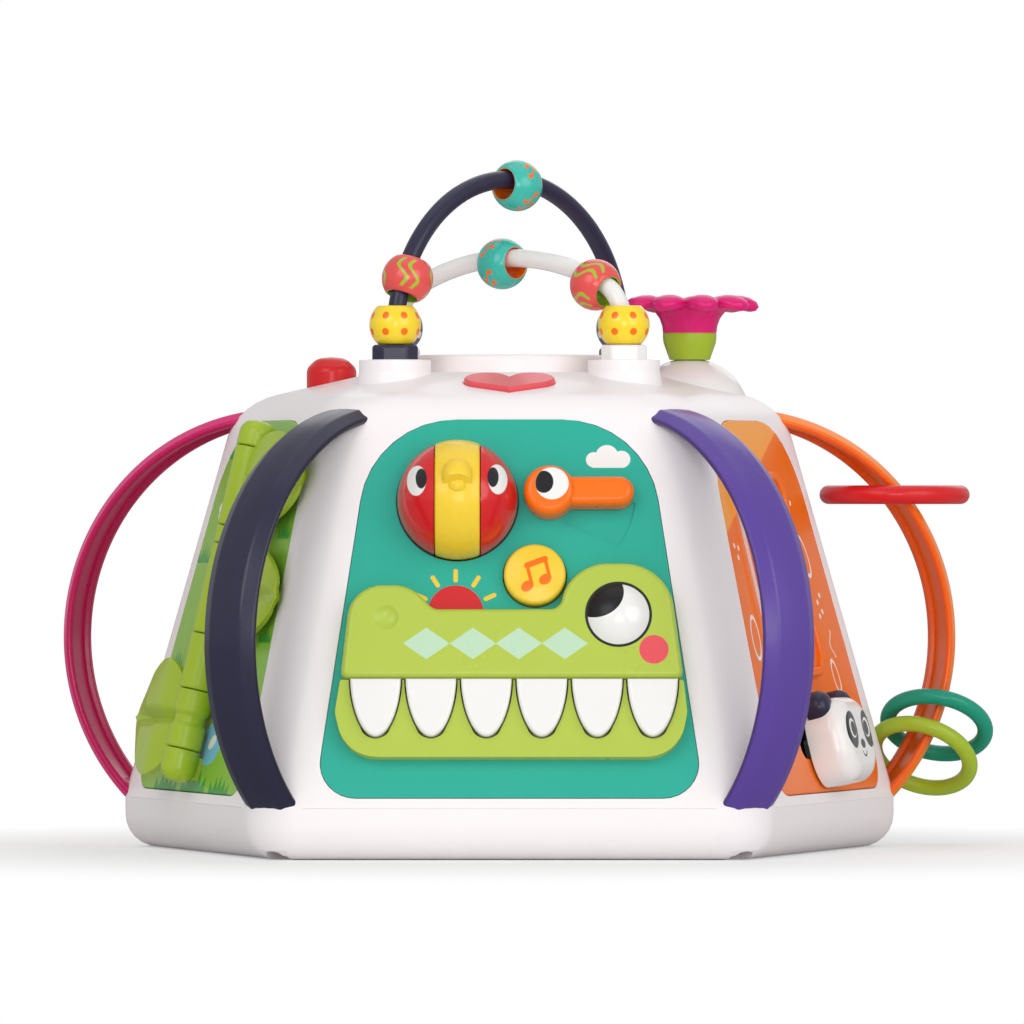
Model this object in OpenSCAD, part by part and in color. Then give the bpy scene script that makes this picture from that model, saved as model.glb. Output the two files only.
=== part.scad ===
// Baby activity center: a five-sided drafted body with a toy on each face,
// a strap handle at each corner and a bead maze on the deck.
// The origin is the centre of the underside, +Z is up and the front faces -Y.
// Pieces on a face use u (to the right), v (up the slope) and n (out of the face).

/* [Body] */
// Distance from the axis to a face at the seam
face_r = 141.9; // [136:0.1:146]
// Lean of the faces, in degrees from upright
face_lean = 13.8; // [12:0.1:15]
// Height of the seam between base and shell
seam_z = 22.3; // [20:0.1:25]
// Height where the walls turn into the shoulder
shoulder_z = 174; // [170:0.5:178]
// Radius of the shoulder
shoulder_r = 24; // [20:0.5:26]
// Slope of the deck, in degrees
deck_slope = 14.5; // [12:0.5:16]
// Distance from the axis to the edge of the flat top
deck_flat_r = 54.3; // [50:0.1:56]
// Rounding of the upright corners
corner_round = 22; // [18:0.5:25]
// Rounding of the deck's corners
deck_round = 30; // [26:0.5:34]
// Radius of the bottom edge
foot_round = 14; // [12:0.5:16]
// Thickness of the mouldings
wall = 2.5; // [2:0.1:3]

/* [Panels] */
// Width of a panel along its foot
panel_w = 158.6; // [154:0.1:162]
// Width of a panel along its head
panel_head_w = 111.6; // [107:0.1:114]
// Start of a panel above the seam
panel_low = 3.5; // [3:0.1:5]
// End of a panel above the seam
panel_high = 162.4; // [160:0.1:163]
// Rounding at the foot of a panel
panel_foot_round = 14.3; // [10:0.1:18]
// Rounding at the head of a panel
panel_head_round = 40; // [34:0.5:44]
// Gap around a panel
panel_gap = 0.3; // [0.2:0.05:0.5]
// Width of the flange behind a panel
flange_w = 2.5; // [2:0.1:2.8]
// Thickness of the flange behind a panel
flange_t = 2; // [1.5:0.1:2.5]

/* [Handles] */
// How far a handle stands out from the sharp corner of the faces' foot
handle_out = 21.9; // [19:0.1:24]
// Radius of a handle's outer face
handle_arc_r = 96.9; // [95:0.1:98]
// Height of a handle's arc centre
handle_z = 88.8; // [87:0.1:90]
// Thickness of a handle
handle_t = 6; // [5:0.1:6.4]
// Width of a handle at its inner face
handle_w = 25; // [22:0.5:25.5]
// Width of a handle's outer flat
handle_flat_w = 16.5; // [14:0.5:18]
// How far inside that corner a handle's upper end lies
handle_head_in = 74; // [72:0.1:76]
// How far inside that corner a handle's lower end lies
handle_foot_in = 15; // [13:0.1:17]

/* [Crocodile] */
// Thickness of the head
head_t = 9; // [8:0.1:10]
// Thickness of the jaw
jaw_t = 6; // [5:0.1:7]
// Width of a tooth key
tooth_w = 20.65; // [19:0.05:20.8]
// Distance between tooth keys
tooth_pitch = 22.6; // [22.3:0.05:22.8]
// Upper end of the tooth keys above the seam
tooth_top = 51.5; // [50:0.1:52]
// Tip of the tooth keys above the seam
tooth_tip = 27.6; // [26:0.1:29]
// Rise of a tooth key above the panel
tooth_rise = 9.5; // [9:0.1:10.5]
// Travel of a tooth key
tooth_travel = 3; // [2:0.1:3.2]
// Diameter of the eye
eye_d = 23.5; // [22:0.1:26]

/* [Roller, lever and music button] */
// Radius of the roller ball
ball_r = 24.7; // [23:0.1:25.5]
// Width of the rocking band
band_w = 18.6; // [16:0.1:20]
// Reach of the beak beyond the ball
beak_reach = 7; // [5:0.1:8]
// Diameter of the lever's head
lever_d = 21; // [19:0.1:22]
// Length of the lever's arm from its pivot
lever_arm = 34.6; // [30:0.1:36]
// Width of the lever's arm
lever_w = 12.3; // [10:0.1:13]
// Thickness of the lever
lever_t = 11; // [9:0.1:12]
// Diameter of the music button
music_d = 25.4; // [23:0.1:26]
// Rise of the music button above the panel
music_rise = 5; // [4:0.1:6]

/* [Leaf flaps] */
// Radius of the stem
stem_r = 7.5; // [6.5:0.1:7.8]
// Height of the stem's axis above the panel
stem_n = 8.5; // [8:0.1:9.5]
// Thickness of a leaf
leaf_t = 3.2; // [2.5:0.1:4]

/* [Panda slider] */
// Width of the panda's head
panda_w = 43; // [40:0.5:46]
// Height of the panda's head
panda_h = 34; // [32:0.5:36]
// Thickness of the panda
panda_t = 17; // [15:0.5:19]
// Travel to each side
panda_travel = 22; // [18:0.5:24]
// Height of the slot
slot_h = 8; // [7:0.1:9]

/* [Deck] */
// Width of the heart button
heart_w = 37.6; // [34:0.1:39]
// Diameter of the dome button
dome_d = 21; // [19:0.1:22]
// Rise of the dome button's cylinder above the flat top
dome_rise = 0; // [-1:0.1:1]
// Radius of the flower's rim
flower_r = 27; // [25:0.1:28]
// Number of petals
petals = 9; // [6:1:10]
// Radius of the flower's mount dome
mount_dome_r = 25.5; // [24:0.1:27]

/* [Bead maze] */
// Diameter of the maze wire
wire_d = 7.6; // [7:0.1:8]
// Distance of the posts from the axis
post_r = 67.2; // [66:0.1:68]
// Height of the post bosses above the flat top
boss_h = 5; // [4:0.1:6]
// Length of the collars on the posts
collar_h = 6.4; // [6:0.1:7]
// Diameter of the collars
collar_d = 19; // [18:0.1:20.5]
// Radius of the white arch's long bend
low_bend_r = 140; // [130:1:150]
// Radius of the white arch's knees
knee_r = 20; // [18:0.5:22]
// Radius of a bead
bead_r = 10.75; // [10.3:0.05:11]
// Length of a bead
bead_l = 16; // [15:0.1:16.4]
// Diameter of a bead's hole
bead_hole = 12.7; // [12.5:0.1:13]
// Thickness of the drum between the posts
drum_h = 7.5; // [6:0.1:8]

/* [Rings] */
// Outer diameter of the large ring
ring_big_d = 64; // [60:0.5:66]
// Thickness of the large ring
ring_big_t = 8; // [7:0.1:9]
// Outer diameter of the small rings
ring_d = 48.5; // [48:0.1:49]
// Thickness of the small rings
ring_t = 6.75; // [6:0.05:6.9]
// Place of the large ring on its handle, in degrees above level
ring_big_at = 40; // [36:0.5:41]
// Place of the upper small ring, in degrees above the handle's foot
ring_teal_at = 29.25; // [28.5:0.05:32]
// Place of the lower small ring, in degrees above the handle's foot
ring_lime_at = 20.75; // [20.5:0.05:23]

/* [Inside] */
// Diameter of a cell
cell_d = 14.2; // [14:0.1:14.5]
// Length of a cell
cell_l = 50.2; // [49:0.1:50.5]
// Diameter of the speaker
speaker_d = 50; // [40:0.5:56]
// Diameter of the screws
screw_d = 2.8; // [2.6:0.1:3]
// Length of the screws under the head
screw_l = 14; // [12:0.5:15]
// Diameter of the steel pins
pin_d = 4; // [3.5:0.1:4.2]
// Travel of the power switch to each side
switch_travel = 4; // [3:0.1:5]

/* [Clearances] */
// Gap between a moving piece and its guide
play = 0.3; // [0.25:0.05:0.4]
// Radial gap of a pin in its bore
pin_play = 0.05; // [0.03:0.01:0.09]
// Gap between seated faces
seat = 0.05; // [0.02:0.01:0.1]

/* [Hidden] */
$fn = 64;

// Colours
white = [0.93, 0.90, 0.91];
teal = [0.18, 0.67, 0.59];
green = [0.59, 0.76, 0.36];
orange = [0.96, 0.49, 0.12];
navy = [0.22, 0.22, 0.31];
purple = [0.39, 0.29, 0.63];
magenta = [0.85, 0.21, 0.49];
lime = [0.72, 0.80, 0.35];
red = [0.88, 0.18, 0.18];
yellow = [0.94, 0.80, 0.23];
blue = [0.13, 0.16, 0.42];
steel = [0.72, 0.73, 0.75];

// Five sides: where the faces and the corners stand, in degrees from the front
sides = 5;
side_turn = 360 / sides;
half_turn = side_turn / 2;
front = 0;
right = side_turn;
left = -side_turn;
rear_right = 2 * side_turn;
rear_left = -2 * side_turn;
corner_front_right = half_turn;
corner_side_right = 3 * half_turn;
corner_side_left = -3 * half_turn;
corner_front_left = -half_turn;
corner_rear = 180;

// Body section
arc_steps = 6;
shoulder_face_r = face_r - (shoulder_z - seam_z) * tan(face_lean);
shoulder_cr = shoulder_face_r - shoulder_r * cos(face_lean);
shoulder_cz = shoulder_z - shoulder_r * sin(face_lean);
deck_edge_r = shoulder_cr + shoulder_r * sin(deck_slope);
deck_edge_z = shoulder_cz + shoulder_r * cos(deck_slope);
deck_z = deck_edge_z + (deck_edge_r - deck_flat_r) * tan(deck_slope);
cut = 1;

// Layers behind a panel
panel_back = -(wall + seat + flange_t);
catch_gap = 0.5;
catch_t = 1.5;
catch_w = 1.2;
catch_back = panel_back - catch_gap - catch_t;

// Pins
pin_r = pin_d / 2;
bore_r = pin_r + pin_play;
pin_spare = 0.3;

// Handles
corner_r = face_r / cos(half_turn);
handle_cr = corner_r + handle_out - handle_arc_r;
handle_head = acos((corner_r - handle_head_in - handle_cr) / handle_arc_r);
handle_foot = -acos((corner_r - handle_foot_in - handle_cr) / handle_arc_r);
handle_inner_r = handle_arc_r - handle_t;
handle_edge = 1.5;

// Places on the front face
ball_at = [-21.3, 127.7];
ball_n = 3;
beak_turn = 10;
beak_r = 7;
beak_tip_r = 3;
beak_root = 2;
axle_half = ball_r * 0.8;
axle_bore_half = axle_half + pin_spare;
lever_cover = 2;
lever_at = [16.4, 130.4];
lever_lift = 0.4;
music_at = [10.4, 96.2];
eye_at = [44.5, 78.2];
eye_rise = 5;
eye_ball_r = eye_d * 0.75;
eye_stem_d = 5;
head_low = tooth_top + play;
head_high = 80.8;
head_foot = [-69, 71];
head_cheek = [-64.5, 64.6];
head_cheek_v = 76;
snout_at = [-49.9, 76.1];
snout_r = 14.8;
brow_at = [44.2, 79.4];
brow_r = 20.6;
jaw_low = 19.3;
jaw_bend_v = 38.2;
jaw_foot = [-67, 69];
jaw_bend = [-71.2, 72.5];
jaw_round = 16;
jaw_bend_round = 8;
edge_round = 1;
nostril_at = [-50.3, 77];
nostril_d = 10.6;
nostril_ball_r = 10;
key_first = -54.6;
tooth_tip_round = 4.8;
tooth_taper = 6.1;
tooth_waist = 16;
tooth_waist_round = 30;
recess_depth = 0.8;
recess_out = 0.8;
recess_root = [4.8, -5];
recess_tip = [4.8, -11.4];
recess_from = -38;
recess_to = -5;
board_gap = 0.4;
board_t = 1.6;
pad_r = 5;
pad_h = 3;
pad_front = catch_back - tooth_travel - board_gap;
board_front = pad_front - pad_h;
board_low = 17;
board_high = 98;
board_half = 70;
board_post_r = 3;
board_post_in = 4;

// Places on the left face
stem_u = 9;
stem_low = 6;
stem_web = 6;
stem_foot = 13.9;
stem_middle = 22.4;
stem_gap = 8;
stem_head = 11.5;
leaf_bottom_knuckle = 26.2;
leaf_bottom_size = [58, 48];
leaf_middle_size = [64, 38];
leaf_top_size = [62, 34];
leaf_bottom_low = stem_low + stem_foot;
leaf_bottom_high = leaf_bottom_low + leaf_bottom_knuckle;
leaf_middle_low = leaf_bottom_high + stem_middle;
leaf_middle_high = leaf_middle_low + leaf_middle_size[1];
leaf_top_low = leaf_middle_high + stem_gap;
leaf_bottom_span = [leaf_bottom_low, leaf_bottom_high];
leaf_middle_span = [leaf_middle_low, leaf_middle_high];
leaf_top_span = [leaf_top_low, leaf_top_low + leaf_top_size[1]];
stem_high = leaf_top_span[1] + stem_head;
stem_bite = 1;

// Places on the right face
panda_at = [0, 23];
panda_lift = 1;
panda_stem = 8;
panda_chin_round = 13;
panda_brow_round = 15;
panda_catch = 6;
ear_r = 7;
inset_low = [-42, 52];
inset_high = [25, 140];
inset_round = 12;
inset_rim = 4;
inset_t = 1.6;
inset_rim_t = 3.6;

// Places on the rear faces
rear_at = [0, 90];
spinner_r = 34;
spinner_t = 7;
spinner_lobe_r = 14;
spinner_lobes = 5;
hub_rise = 4;
hand_hub_rise = 2;
hand_l = 30;
hand_w = 9;
hand_t = 5;
hub_r = 9;
dial_r = 42;
dial_rim = 4;
dial_t = 4;

// Places on the deck
heart_r = 72;
heart_z = deck_z - (heart_r - deck_flat_r) * tan(deck_slope);
heart_lobe = heart_w * 0.255;
heart_tip = 16.4;
heart_rise = 2.2;
heart_depth = 7;
heart_travel = 2;
dome_turn = corner_side_left;
dome_at_r = 79;
dome_travel = 3;
dome_drop = 14;
dome_low = deck_z - dome_drop;
dome_cap_h = 7;
dome_ball_r = dome_d * 0.55;
flower_turn = corner_side_right;
flower_at_r = 80;
mount_dome_h = 6.8;
mount_dome_top = deck_z + mount_dome_h;
mount_dome_z = mount_dome_top - mount_dome_r;
cup_low_r = 8.5;
cup_high_r = 11;
cup_h = 10.3;
cup_z = mount_dome_top + play;
bell_z = cup_z + cup_h;
bell_h = 15.6;
bell_t = 2;
bell_steps = 8;
scallop = 0.06;
bell_flare = 2.8;
bell_bulge = 1.5;
petal_points = 8;

// Bead maze
boss_r = 15;
boss_z = deck_z + boss_h;
collar_z = boss_z + collar_h;
leg_in = 0.6;
leg_low = deck_z - leg_in;
high_bend_rise = 2.8;
high_bend_z = collar_z + high_bend_rise;
knee_rise = 7.4;
knee_z = collar_z + knee_rise;
knee_tilt = asin((post_r - knee_r) / (low_bend_r - knee_r));
low_bend_z = knee_z - (low_bend_r - knee_r) * cos(knee_tilt);
diagonal = 45;
post_bead_z = collar_z + play + bead_l / 2;
hang = (bead_hole - wire_d) / 2 - play;
drum_r = 46;
wire_sides = 16;
bend_steps = 8;
red_left_turn = 180 - 22.5;
teal_upper_turn = 180 - 94;
red_right_rise = 1.56;
red_right_turn = 90 - knee_tilt + red_right_rise;
teal_lower_turn = 90 + 1.8;

// Rings
ring_tilt = 30;
ring_off = 4.5;
ring_side = 0.7;
ring_big_side = ring_big_d / 2 - ring_big_t - handle_w / 2 - 4 * play;
ring_big_out = ring_big_side / 3;
handle_mid_r = handle_arc_r - handle_t / 2;

// Inside the base
cells = 3;
cell_gap = 0.4;
box_at = [0, 40];
cell_spring = 2;
box_in = [cell_l + cell_spring, cells * (cell_d + cell_gap) + cell_gap];
box_wall = 2;
cell_z = wall + play + cell_d / 2;
box_high = cell_z + cell_d / 2 + play + box_wall;
door_tab = 11;
door_sink = 0.3;
door_t = wall - door_sink;
door_low = 0.2;
door_high = door_low + door_t;
door_in = box_in + [2 * door_tab, 0];
nub_d = 5.5;
nub_l = 1;
speaker_at = [0, -62];
speaker_h = 16;
speaker_rim_h = 5;
speaker_rim_w = 2.5;
speaker_cone_h = 5.5;
magnet_r = 14;
grille_r = 1.6;
grille_pitch = 6;
switch_at = [62, 30];
switch_w = 7;
switch_h = 5;
switch_low = 0.5;
well_r = 4;
well_top = 12;
screw_in = 17.9;
screw_at_r = corner_r - screw_in;
screw_boss_r = 7.5;
shell_boss_r = 5;
shell_boss_h = 14;
shell_web = 3;
screw_head_r = 2.9;
screw_head_t = 1.6;
screw_play = 0.1;
screw_hole_r = screw_d / 2 + screw_play;

// Plane helpers

function unit(p) = p / norm(p);

function polar(turn, r) = [r * sin(turn), -r * cos(turn)];

function short_turn(a) = a > 180 ? a - 360 : a < -180 ? a + 360 : a;

// Points of an arc of radius r that rounds the corner b between a and c
function corner_arc(a, b, c, r, steps) =
  let (
    p = unit(a - b),
    q = unit(c - b),
    half = acos(p * q) / 2,
    mid = b + unit(p + q) * r / sin(half),
    from = b + p * r / tan(half) - mid,
    to = b + q * r / tan(half) - mid,
    start = atan2(from[1], from[0]),
    sweep = short_turn(atan2(to[1], to[0]) - start)
  )
  [for (i = [0:steps]) mid + r * [cos(start + sweep * i / steps), sin(start + sweep * i / steps)]];

// An outline with each corner rounded by its own radius
function rounded(points, radii, steps = 8) =
  let (count = len(points))
  [for (i = [0:count - 1])
    each corner_arc(points[(i + count - 1) % count], points[i], points[(i + 1) % count], radii[i], steps)];

// A convex outline whose sides all move out by g
function grown(points, g) =
  let (count = len(points))
  [for (i = [0:count - 1])
    let (
      p = unit(points[(i + count - 1) % count] - points[i]),
      q = unit(points[(i + 1) % count] - points[i])
    )
    points[i] - unit(p + q) * g / sin(acos(p * q) / 2)];

function plus(radii, g) = [for (r = radii) r + g];

// Outline of a panel, grown by g
function panel_outline(g) =
  let (
    foot = panel_w / 2,
    head = panel_head_w / 2,
    corners = [[-foot, panel_low], [foot, panel_low], [head, panel_high], [-head, panel_high]],
    radii = [panel_foot_round, panel_foot_round, panel_head_round, panel_head_round]
  )
  rounded(grown(corners, g), plus(radii, g));

// One level of the body: a rounded five-sided ring at height z
function ring_points(a, round_r, z) =
  [for (k = [0:sides - 1])
    for (i = [0:arc_steps])
      let (
        corner = half_turn + side_turn * k,
        turn = corner - half_turn + side_turn * i / arc_steps,
        at = polar(corner, (a - round_r) / cos(half_turn)) + polar(turn, round_r)
      )
      [at[0], at[1], z]];

// Levels of the shell, moved in by inset, from height low upwards
function body_levels(inset, low) =
  let (
    low_r = face_r - (low - seam_z) * tan(face_lean) - inset / cos(face_lean),
    bend = shoulder_r - inset,
    edge_r = shoulder_cr + bend * sin(deck_slope),
    edge_z = shoulder_cz + bend * cos(deck_slope),
    flat_z = deck_z - inset,
    flat_r = edge_r - (flat_z - edge_z) / tan(deck_slope)
  )
  concat(
    [ring_points(low_r, corner_round - inset, low)],
    [for (i = [0:arc_steps])
      let (
        turn = face_lean + (90 - deck_slope - face_lean) * i / arc_steps,
        round_r = corner_round + (deck_round - corner_round) * i / arc_steps - inset
      )
      ring_points(shoulder_cr + bend * cos(turn), round_r, shoulder_cz + bend * sin(turn))],
    [ring_points(flat_r, deck_round - inset, flat_z)]
  );

// Levels of the base, moved in by inset, up to height high
function base_levels(inset, high) =
  let (bend = foot_round - inset)
  concat(
    [for (i = [0:arc_steps])
      let (turn = 90 * i / arc_steps, grow = bend * sin(turn) - foot_round)
      ring_points(face_r + grow, corner_round + grow, foot_round - bend * cos(turn))],
    [ring_points(face_r - inset, corner_round - inset, high)]
  );

// A closed solid through a stack of rings with equal counts of points
module loft(levels) {
  count = len(levels[0]);
  last = (len(levels) - 1) * count;
  floor_face = [for (i = [0:count - 1]) i];
  roof_face = [for (i = [0:count - 1]) last + count - 1 - i];
  walls = [for (k = [0:len(levels) - 2])
    for (i = [0:count - 1])
      let (j = (i + 1) % count, low = k * count, high = low + count)
      [low + i, high + i, high + j, low + j]];
  polyhedron([for (level = levels) each level], concat([floor_face], [roof_face], walls));
}

module body_outer() {
  loft(body_levels(0, seam_z));
}

module base_outer() {
  loft(base_levels(0, seam_z));
}

// Frames

module on_face(turn) {
  rotate([0, 0, turn])
    translate([0, -face_r, seam_z])
      rotate([90 - face_lean, 0, 0])
        children();
}

// Frame of a handle: x runs out from its arc centre, y up, z across the strap
module on_arc(turn) {
  rotate([0, 0, turn])
    translate([0, -handle_cr, handle_z])
      rotate([90, 0, -90])
        children();
}

module at_point(p, z = 0) {
  translate([p[0], p[1], z])
    children();
}

// A slab between two levels of n
module slab(low, high) {
  translate([0, 0, low])
    linear_extrude(high - low)
      children();
}

module rod(r, low, high) {
  translate([0, 0, low])
    cylinder(r = r, h = high - low);
}

// Frame along the stem of the leaf flaps: z runs up the slope
module along_stem() {
  on_face(left)
    translate([stem_u, 0, stem_n])
      rotate([-90, 0, 0])
        children();
}

// Frame along the roller's axle: z runs to the right
module along_axle() {
  on_face(front)
    at_point(ball_at, ball_n)
      rotate([0, 90, 0])
        children();
}

// Base and shell

module corner_points(r) {
  for (k = [0:sides - 1])
    rotate([0, 0, half_turn + side_turn * k])
      translate([0, -r, 0])
        children();
}

module base_tray() {
  color(white)
    difference() {
      base_outer();
      difference() {
        loft(base_levels(wall, seam_z + cut));
        corner_points(screw_at_r)
          rod(screw_boss_r, -cut, seam_z + 2 * cut);
      }
      corner_points(screw_at_r) {
        rod(well_r, -cut, well_top);
        rod(screw_hole_r, 0, seam_z + cut);
      }
      at_point(box_at)
        slab(-cut, wall + cut)
          square(door_in + [2 * play, 2 * play], center = true);
      at_point(speaker_at) {
        rod(grille_r, -cut, wall + cut);
        for (ring = [1:2])
          for (i = [0:6 * ring - 1])
            at_point(polar(60 * i / ring, grille_pitch * ring))
              rod(grille_r, -cut, wall + cut);
      }
      at_point(switch_at)
        slab(-cut, wall + cut)
          square([switch_w + 2 * (switch_travel + play), switch_h + 2 * play], center = true);
    }
}

module post_points() {
  for (i = [0:3])
    at_point(polar(diagonal + 90 * i, post_r))
      children();
}

// A screw boss with a web out to the corner of the shell
module shell_boss() {
  rod(shell_boss_r, seam_z - 2 * cut, seam_z + shell_boss_h);
  translate([-shell_web / 2, -corner_round, seam_z - 2 * cut])
    cube([shell_web, corner_round, shell_boss_h + 2 * cut]);
}

module body_shell() {
  color(white)
    difference() {
      union() {
        body_outer();
        post_points()
          rod(boss_r, deck_z - boss_h, boss_z);
      }
      difference() {
        loft(body_levels(wall, seam_z - cut));
        corner_points(screw_at_r)
          shell_boss();
      }
      corner_points(screw_at_r)
        rod(screw_hole_r, seam_z - cut, seam_z + shell_boss_h - cut);
      for (k = [0:sides - 1])
        on_face(side_turn * k) {
          slab(-wall - seat, cut)
            polygon(panel_outline(panel_gap));
          slab(panel_back - play, -wall - seat / 2)
            polygon(panel_outline(flange_w + play));
        }
      post_points()
        rod(wire_d / 2 + pin_play, deck_z - 2 * boss_h, boss_z + cut);
      on_heart()
        slab(-heart_depth, heart_depth)
          heart_outline(play);
      at_point(polar(dome_turn, dome_at_r))
        rod(dome_d / 2 + play, dome_low, boss_z);
      at_point(polar(flower_turn, flower_at_r))
        rod(bore_r, dome_low, boss_z);
    }
}

module maze_base() {
  color(white)
    rod(drum_r, deck_z, deck_z + drum_h);
}

// Panels

module panel_plate() {
  slab(panel_back, 0)
    polygon(panel_outline(0));
  slab(panel_back, -wall - seat)
    polygon(panel_outline(flange_w));
}

module front_panel() {
  color(teal)
    on_face(front)
      difference() {
        union() {
          panel_plate();
          board_posts();
        }
        for (i = [0:5])
          key_place(i)
            slab(panel_back - cut, cut)
              polygon(tooth_outline(play));
        at_point(music_at)
          rod(music_d / 2 + play, panel_back - cut, cut);
        at_point(ball_at)
          slab(panel_back - cut, cut)
            intersection() {
              circle(ball_r + play);
              square([band_w + 2 * play, 3 * ball_r], center = true);
            }
        at_point(lever_at) {
          rod(bore_r, panel_back - cut, cut);
          slab(-recess_depth, cut)
            polygon(recess_outline());
        }
        at_point(eye_at)
          rod(eye_stem_d / 2 + pin_play, panel_back - cut, cut);
      }
}

// The lever's swing, marked by a shallow sector
function recess_outline() =
  concat(
    [recess_root, recess_tip],
    [for (i = [0:arc_steps])
      let (turn = recess_from + (recess_to - recess_from) * i / arc_steps)
      (lever_arm + recess_out) * [cos(turn), sin(turn)]]
  );

module board_corners() {
  for (side = [-1, 1])
    for (v = [board_low + board_post_in, board_high - board_post_in])
      translate([side * (board_half - board_post_in), v, 0])
        children();
}

module board_posts() {
  board_corners()
    rod(board_post_r, board_front + seat, panel_back + seat);
}

module left_panel() {
  color(green)
    on_face(left)
      panel_plate();
}

module right_panel() {
  color(orange)
    on_face(right)
      difference() {
        panel_plate();
        at_point(panda_at)
          slab(panel_back - cut, cut)
            square([panda_stem + 2 * (panda_travel + play), slot_h + 2 * play], center = true);
      }
}

module rear_right_panel() {
  color(purple)
    on_face(rear_right)
      difference() {
        panel_plate();
        at_point(rear_at)
          rod(bore_r, panel_back - cut, cut);
      }
}

module rear_left_panel() {
  color(yellow)
    on_face(rear_left)
      difference() {
        union() {
          panel_plate();
          at_point(rear_at)
            slab(-cut, dial_t)
              difference() {
                circle(dial_r);
                circle(dial_r - dial_rim);
              }
        }
        at_point(rear_at)
          rod(bore_r, panel_back - cut, cut);
      }
}

// Handles

// Section of a strap: radius from the arc centre, then place across the strap
function strap_section() =
  let (
    inner = handle_inner_r,
    outer = handle_arc_r,
    half = handle_w / 2,
    flat = handle_flat_w / 2
  )
  [
    [inner, -half + handle_edge],
    [inner + handle_edge, -half],
    [inner + 2 * handle_edge, -half],
    [outer, -flat],
    [outer, flat],
    [inner + 2 * handle_edge, half],
    [inner + handle_edge, half],
    [inner, half - handle_edge]
  ];

module strap(turn, room = 0) {
  on_arc(turn)
    rotate([0, 0, handle_foot])
      rotate_extrude(angle = handle_head - handle_foot)
        offset(delta = room)
          polygon(strap_section());
}

module handle(turn) {
  difference() {
    strap(turn);
    body_outer();
    base_outer();
  }
}

module handle_front_left() {
  color(navy)
    handle(corner_front_left);
}

module handle_front_right() {
  color(purple)
    handle(corner_front_right);
}

module handle_side_left() {
  color(magenta)
    handle(corner_side_left);
}

module handle_side_right() {
  color(orange)
    handle(corner_side_right);
}

module handle_rear() {
  color(teal)
    handle(corner_rear);
}

// Front face

module head_block() {
  slab(0, head_t)
    polygon([
      [head_foot[0], head_low],
      [head_cheek[0], head_cheek_v],
      [snout_at[0], head_cheek_v],
      [snout_at[0], head_high],
      [brow_at[0], head_high],
      [brow_at[0], head_cheek_v],
      [head_cheek[1], head_cheek_v],
      [head_foot[1], head_low]
    ]);
  at_point(snout_at)
    rod(snout_r, 0, head_t);
  at_point(brow_at)
    rod(brow_r, 0, head_t);
}

module crocodile_head() {
  color(lime)
    on_face(front)
      difference() {
        head_block();
        at_point(eye_at)
          rod(eye_stem_d / 2 + pin_play, -cut, head_t + cut);
        at_point(nostril_at, head_t + sqrt(pow(nostril_ball_r, 2) - pow(nostril_d / 2, 2)))
          sphere(nostril_ball_r);
      }
}

// Outline of a tooth key about its own middle, grown by g
function tooth_outline(g) =
  let (
    half = tooth_w / 2,
    tip = half - tooth_taper,
    waist = tooth_tip + tooth_waist,
    corners = [
      [-tip, tooth_tip], [tip, tooth_tip], [half, waist],
      [half, tooth_top], [-half, tooth_top], [-half, waist]
    ],
    radii = [tooth_tip_round, tooth_tip_round, tooth_waist_round, edge_round, edge_round, tooth_waist_round]
  )
  rounded(grown(corners, g), plus(radii, g));

module key_place(i) {
  translate([key_first + tooth_pitch * i, 0, 0])
    children();
}

module crocodile_jaw() {
  color(lime)
    on_face(front)
      difference() {
        slab(0, jaw_t)
          polygon(rounded(
            [
              [jaw_foot[0], jaw_low], [jaw_foot[1], jaw_low],
              [jaw_bend[1], jaw_bend_v], [head_foot[1], tooth_top],
              [head_foot[0], tooth_top], [jaw_bend[0], jaw_bend_v]
            ],
            [jaw_round, jaw_round, jaw_bend_round, edge_round, edge_round, jaw_bend_round]
          ));
        for (i = [0:5])
          key_place(i)
            slab(-cut, jaw_t + cut)
              polygon(tooth_outline(play));
      }
}

module tooth_key(i) {
  color(white)
    on_face(front)
      key_place(i) {
        slab(catch_back, tooth_rise)
          polygon(tooth_outline(0));
        slab(catch_back, catch_back + catch_t)
          translate([0, (tooth_tip + tooth_top) / 2])
            square([tooth_pitch - 2 * play, tooth_top - tooth_tip + 2 * catch_w], center = true);
      }
}

module crocodile_eye() {
  color(white)
    on_face(front)
      at_point(eye_at) {
        intersection() {
          rod(eye_d / 2, head_t + play, head_t + play + eye_rise);
          translate([0, 0, head_t + play + eye_rise - eye_ball_r])
            sphere(eye_ball_r);
        }
        rod(eye_stem_d / 2, panel_back - cut, head_t + eye_rise / 2);
      }
}

module bird_cheeks() {
  color(red)
    on_face(front)
      at_point(ball_at)
        for (side = [-1, 1])
          difference() {
            intersection() {
              translate([0, 0, ball_n])
                sphere(ball_r);
              translate([side * (band_w / 2 + play + ball_r), 0, ball_r])
                cube(2 * ball_r, center = true);
            }
            translate([0, 0, ball_n])
              rotate([0, 90, 0])
                rod(bore_r, -axle_bore_half, axle_bore_half);
          }
}

module bird_roller() {
  color(yellow)
    along_axle()
      difference() {
        union() {
          intersection() {
            sphere(ball_r);
            cube([3 * ball_r, 3 * ball_r, band_w], center = true);
          }
          rotate([0, 0, 180 - beak_turn])
            rotate([0, 90, 0])
              translate([0, 0, ball_r - beak_root])
                cylinder(r1 = beak_r, r2 = beak_tip_r, h = beak_reach + beak_root);
        }
        rod(bore_r, -band_w, band_w);
      }
}

module lever() {
  color(orange)
    on_face(front)
      at_point(lever_at)
        difference() {
          slab(lever_lift, lever_lift + lever_t) {
            circle(lever_d / 2);
            translate([0, -lever_w / 2])
              square([lever_arm - lever_w / 2, lever_w]);
            translate([lever_arm - lever_w / 2, 0])
              circle(lever_w / 2);
          }
          rod(bore_r, -cut, lever_t - lever_cover);
        }
}

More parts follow.
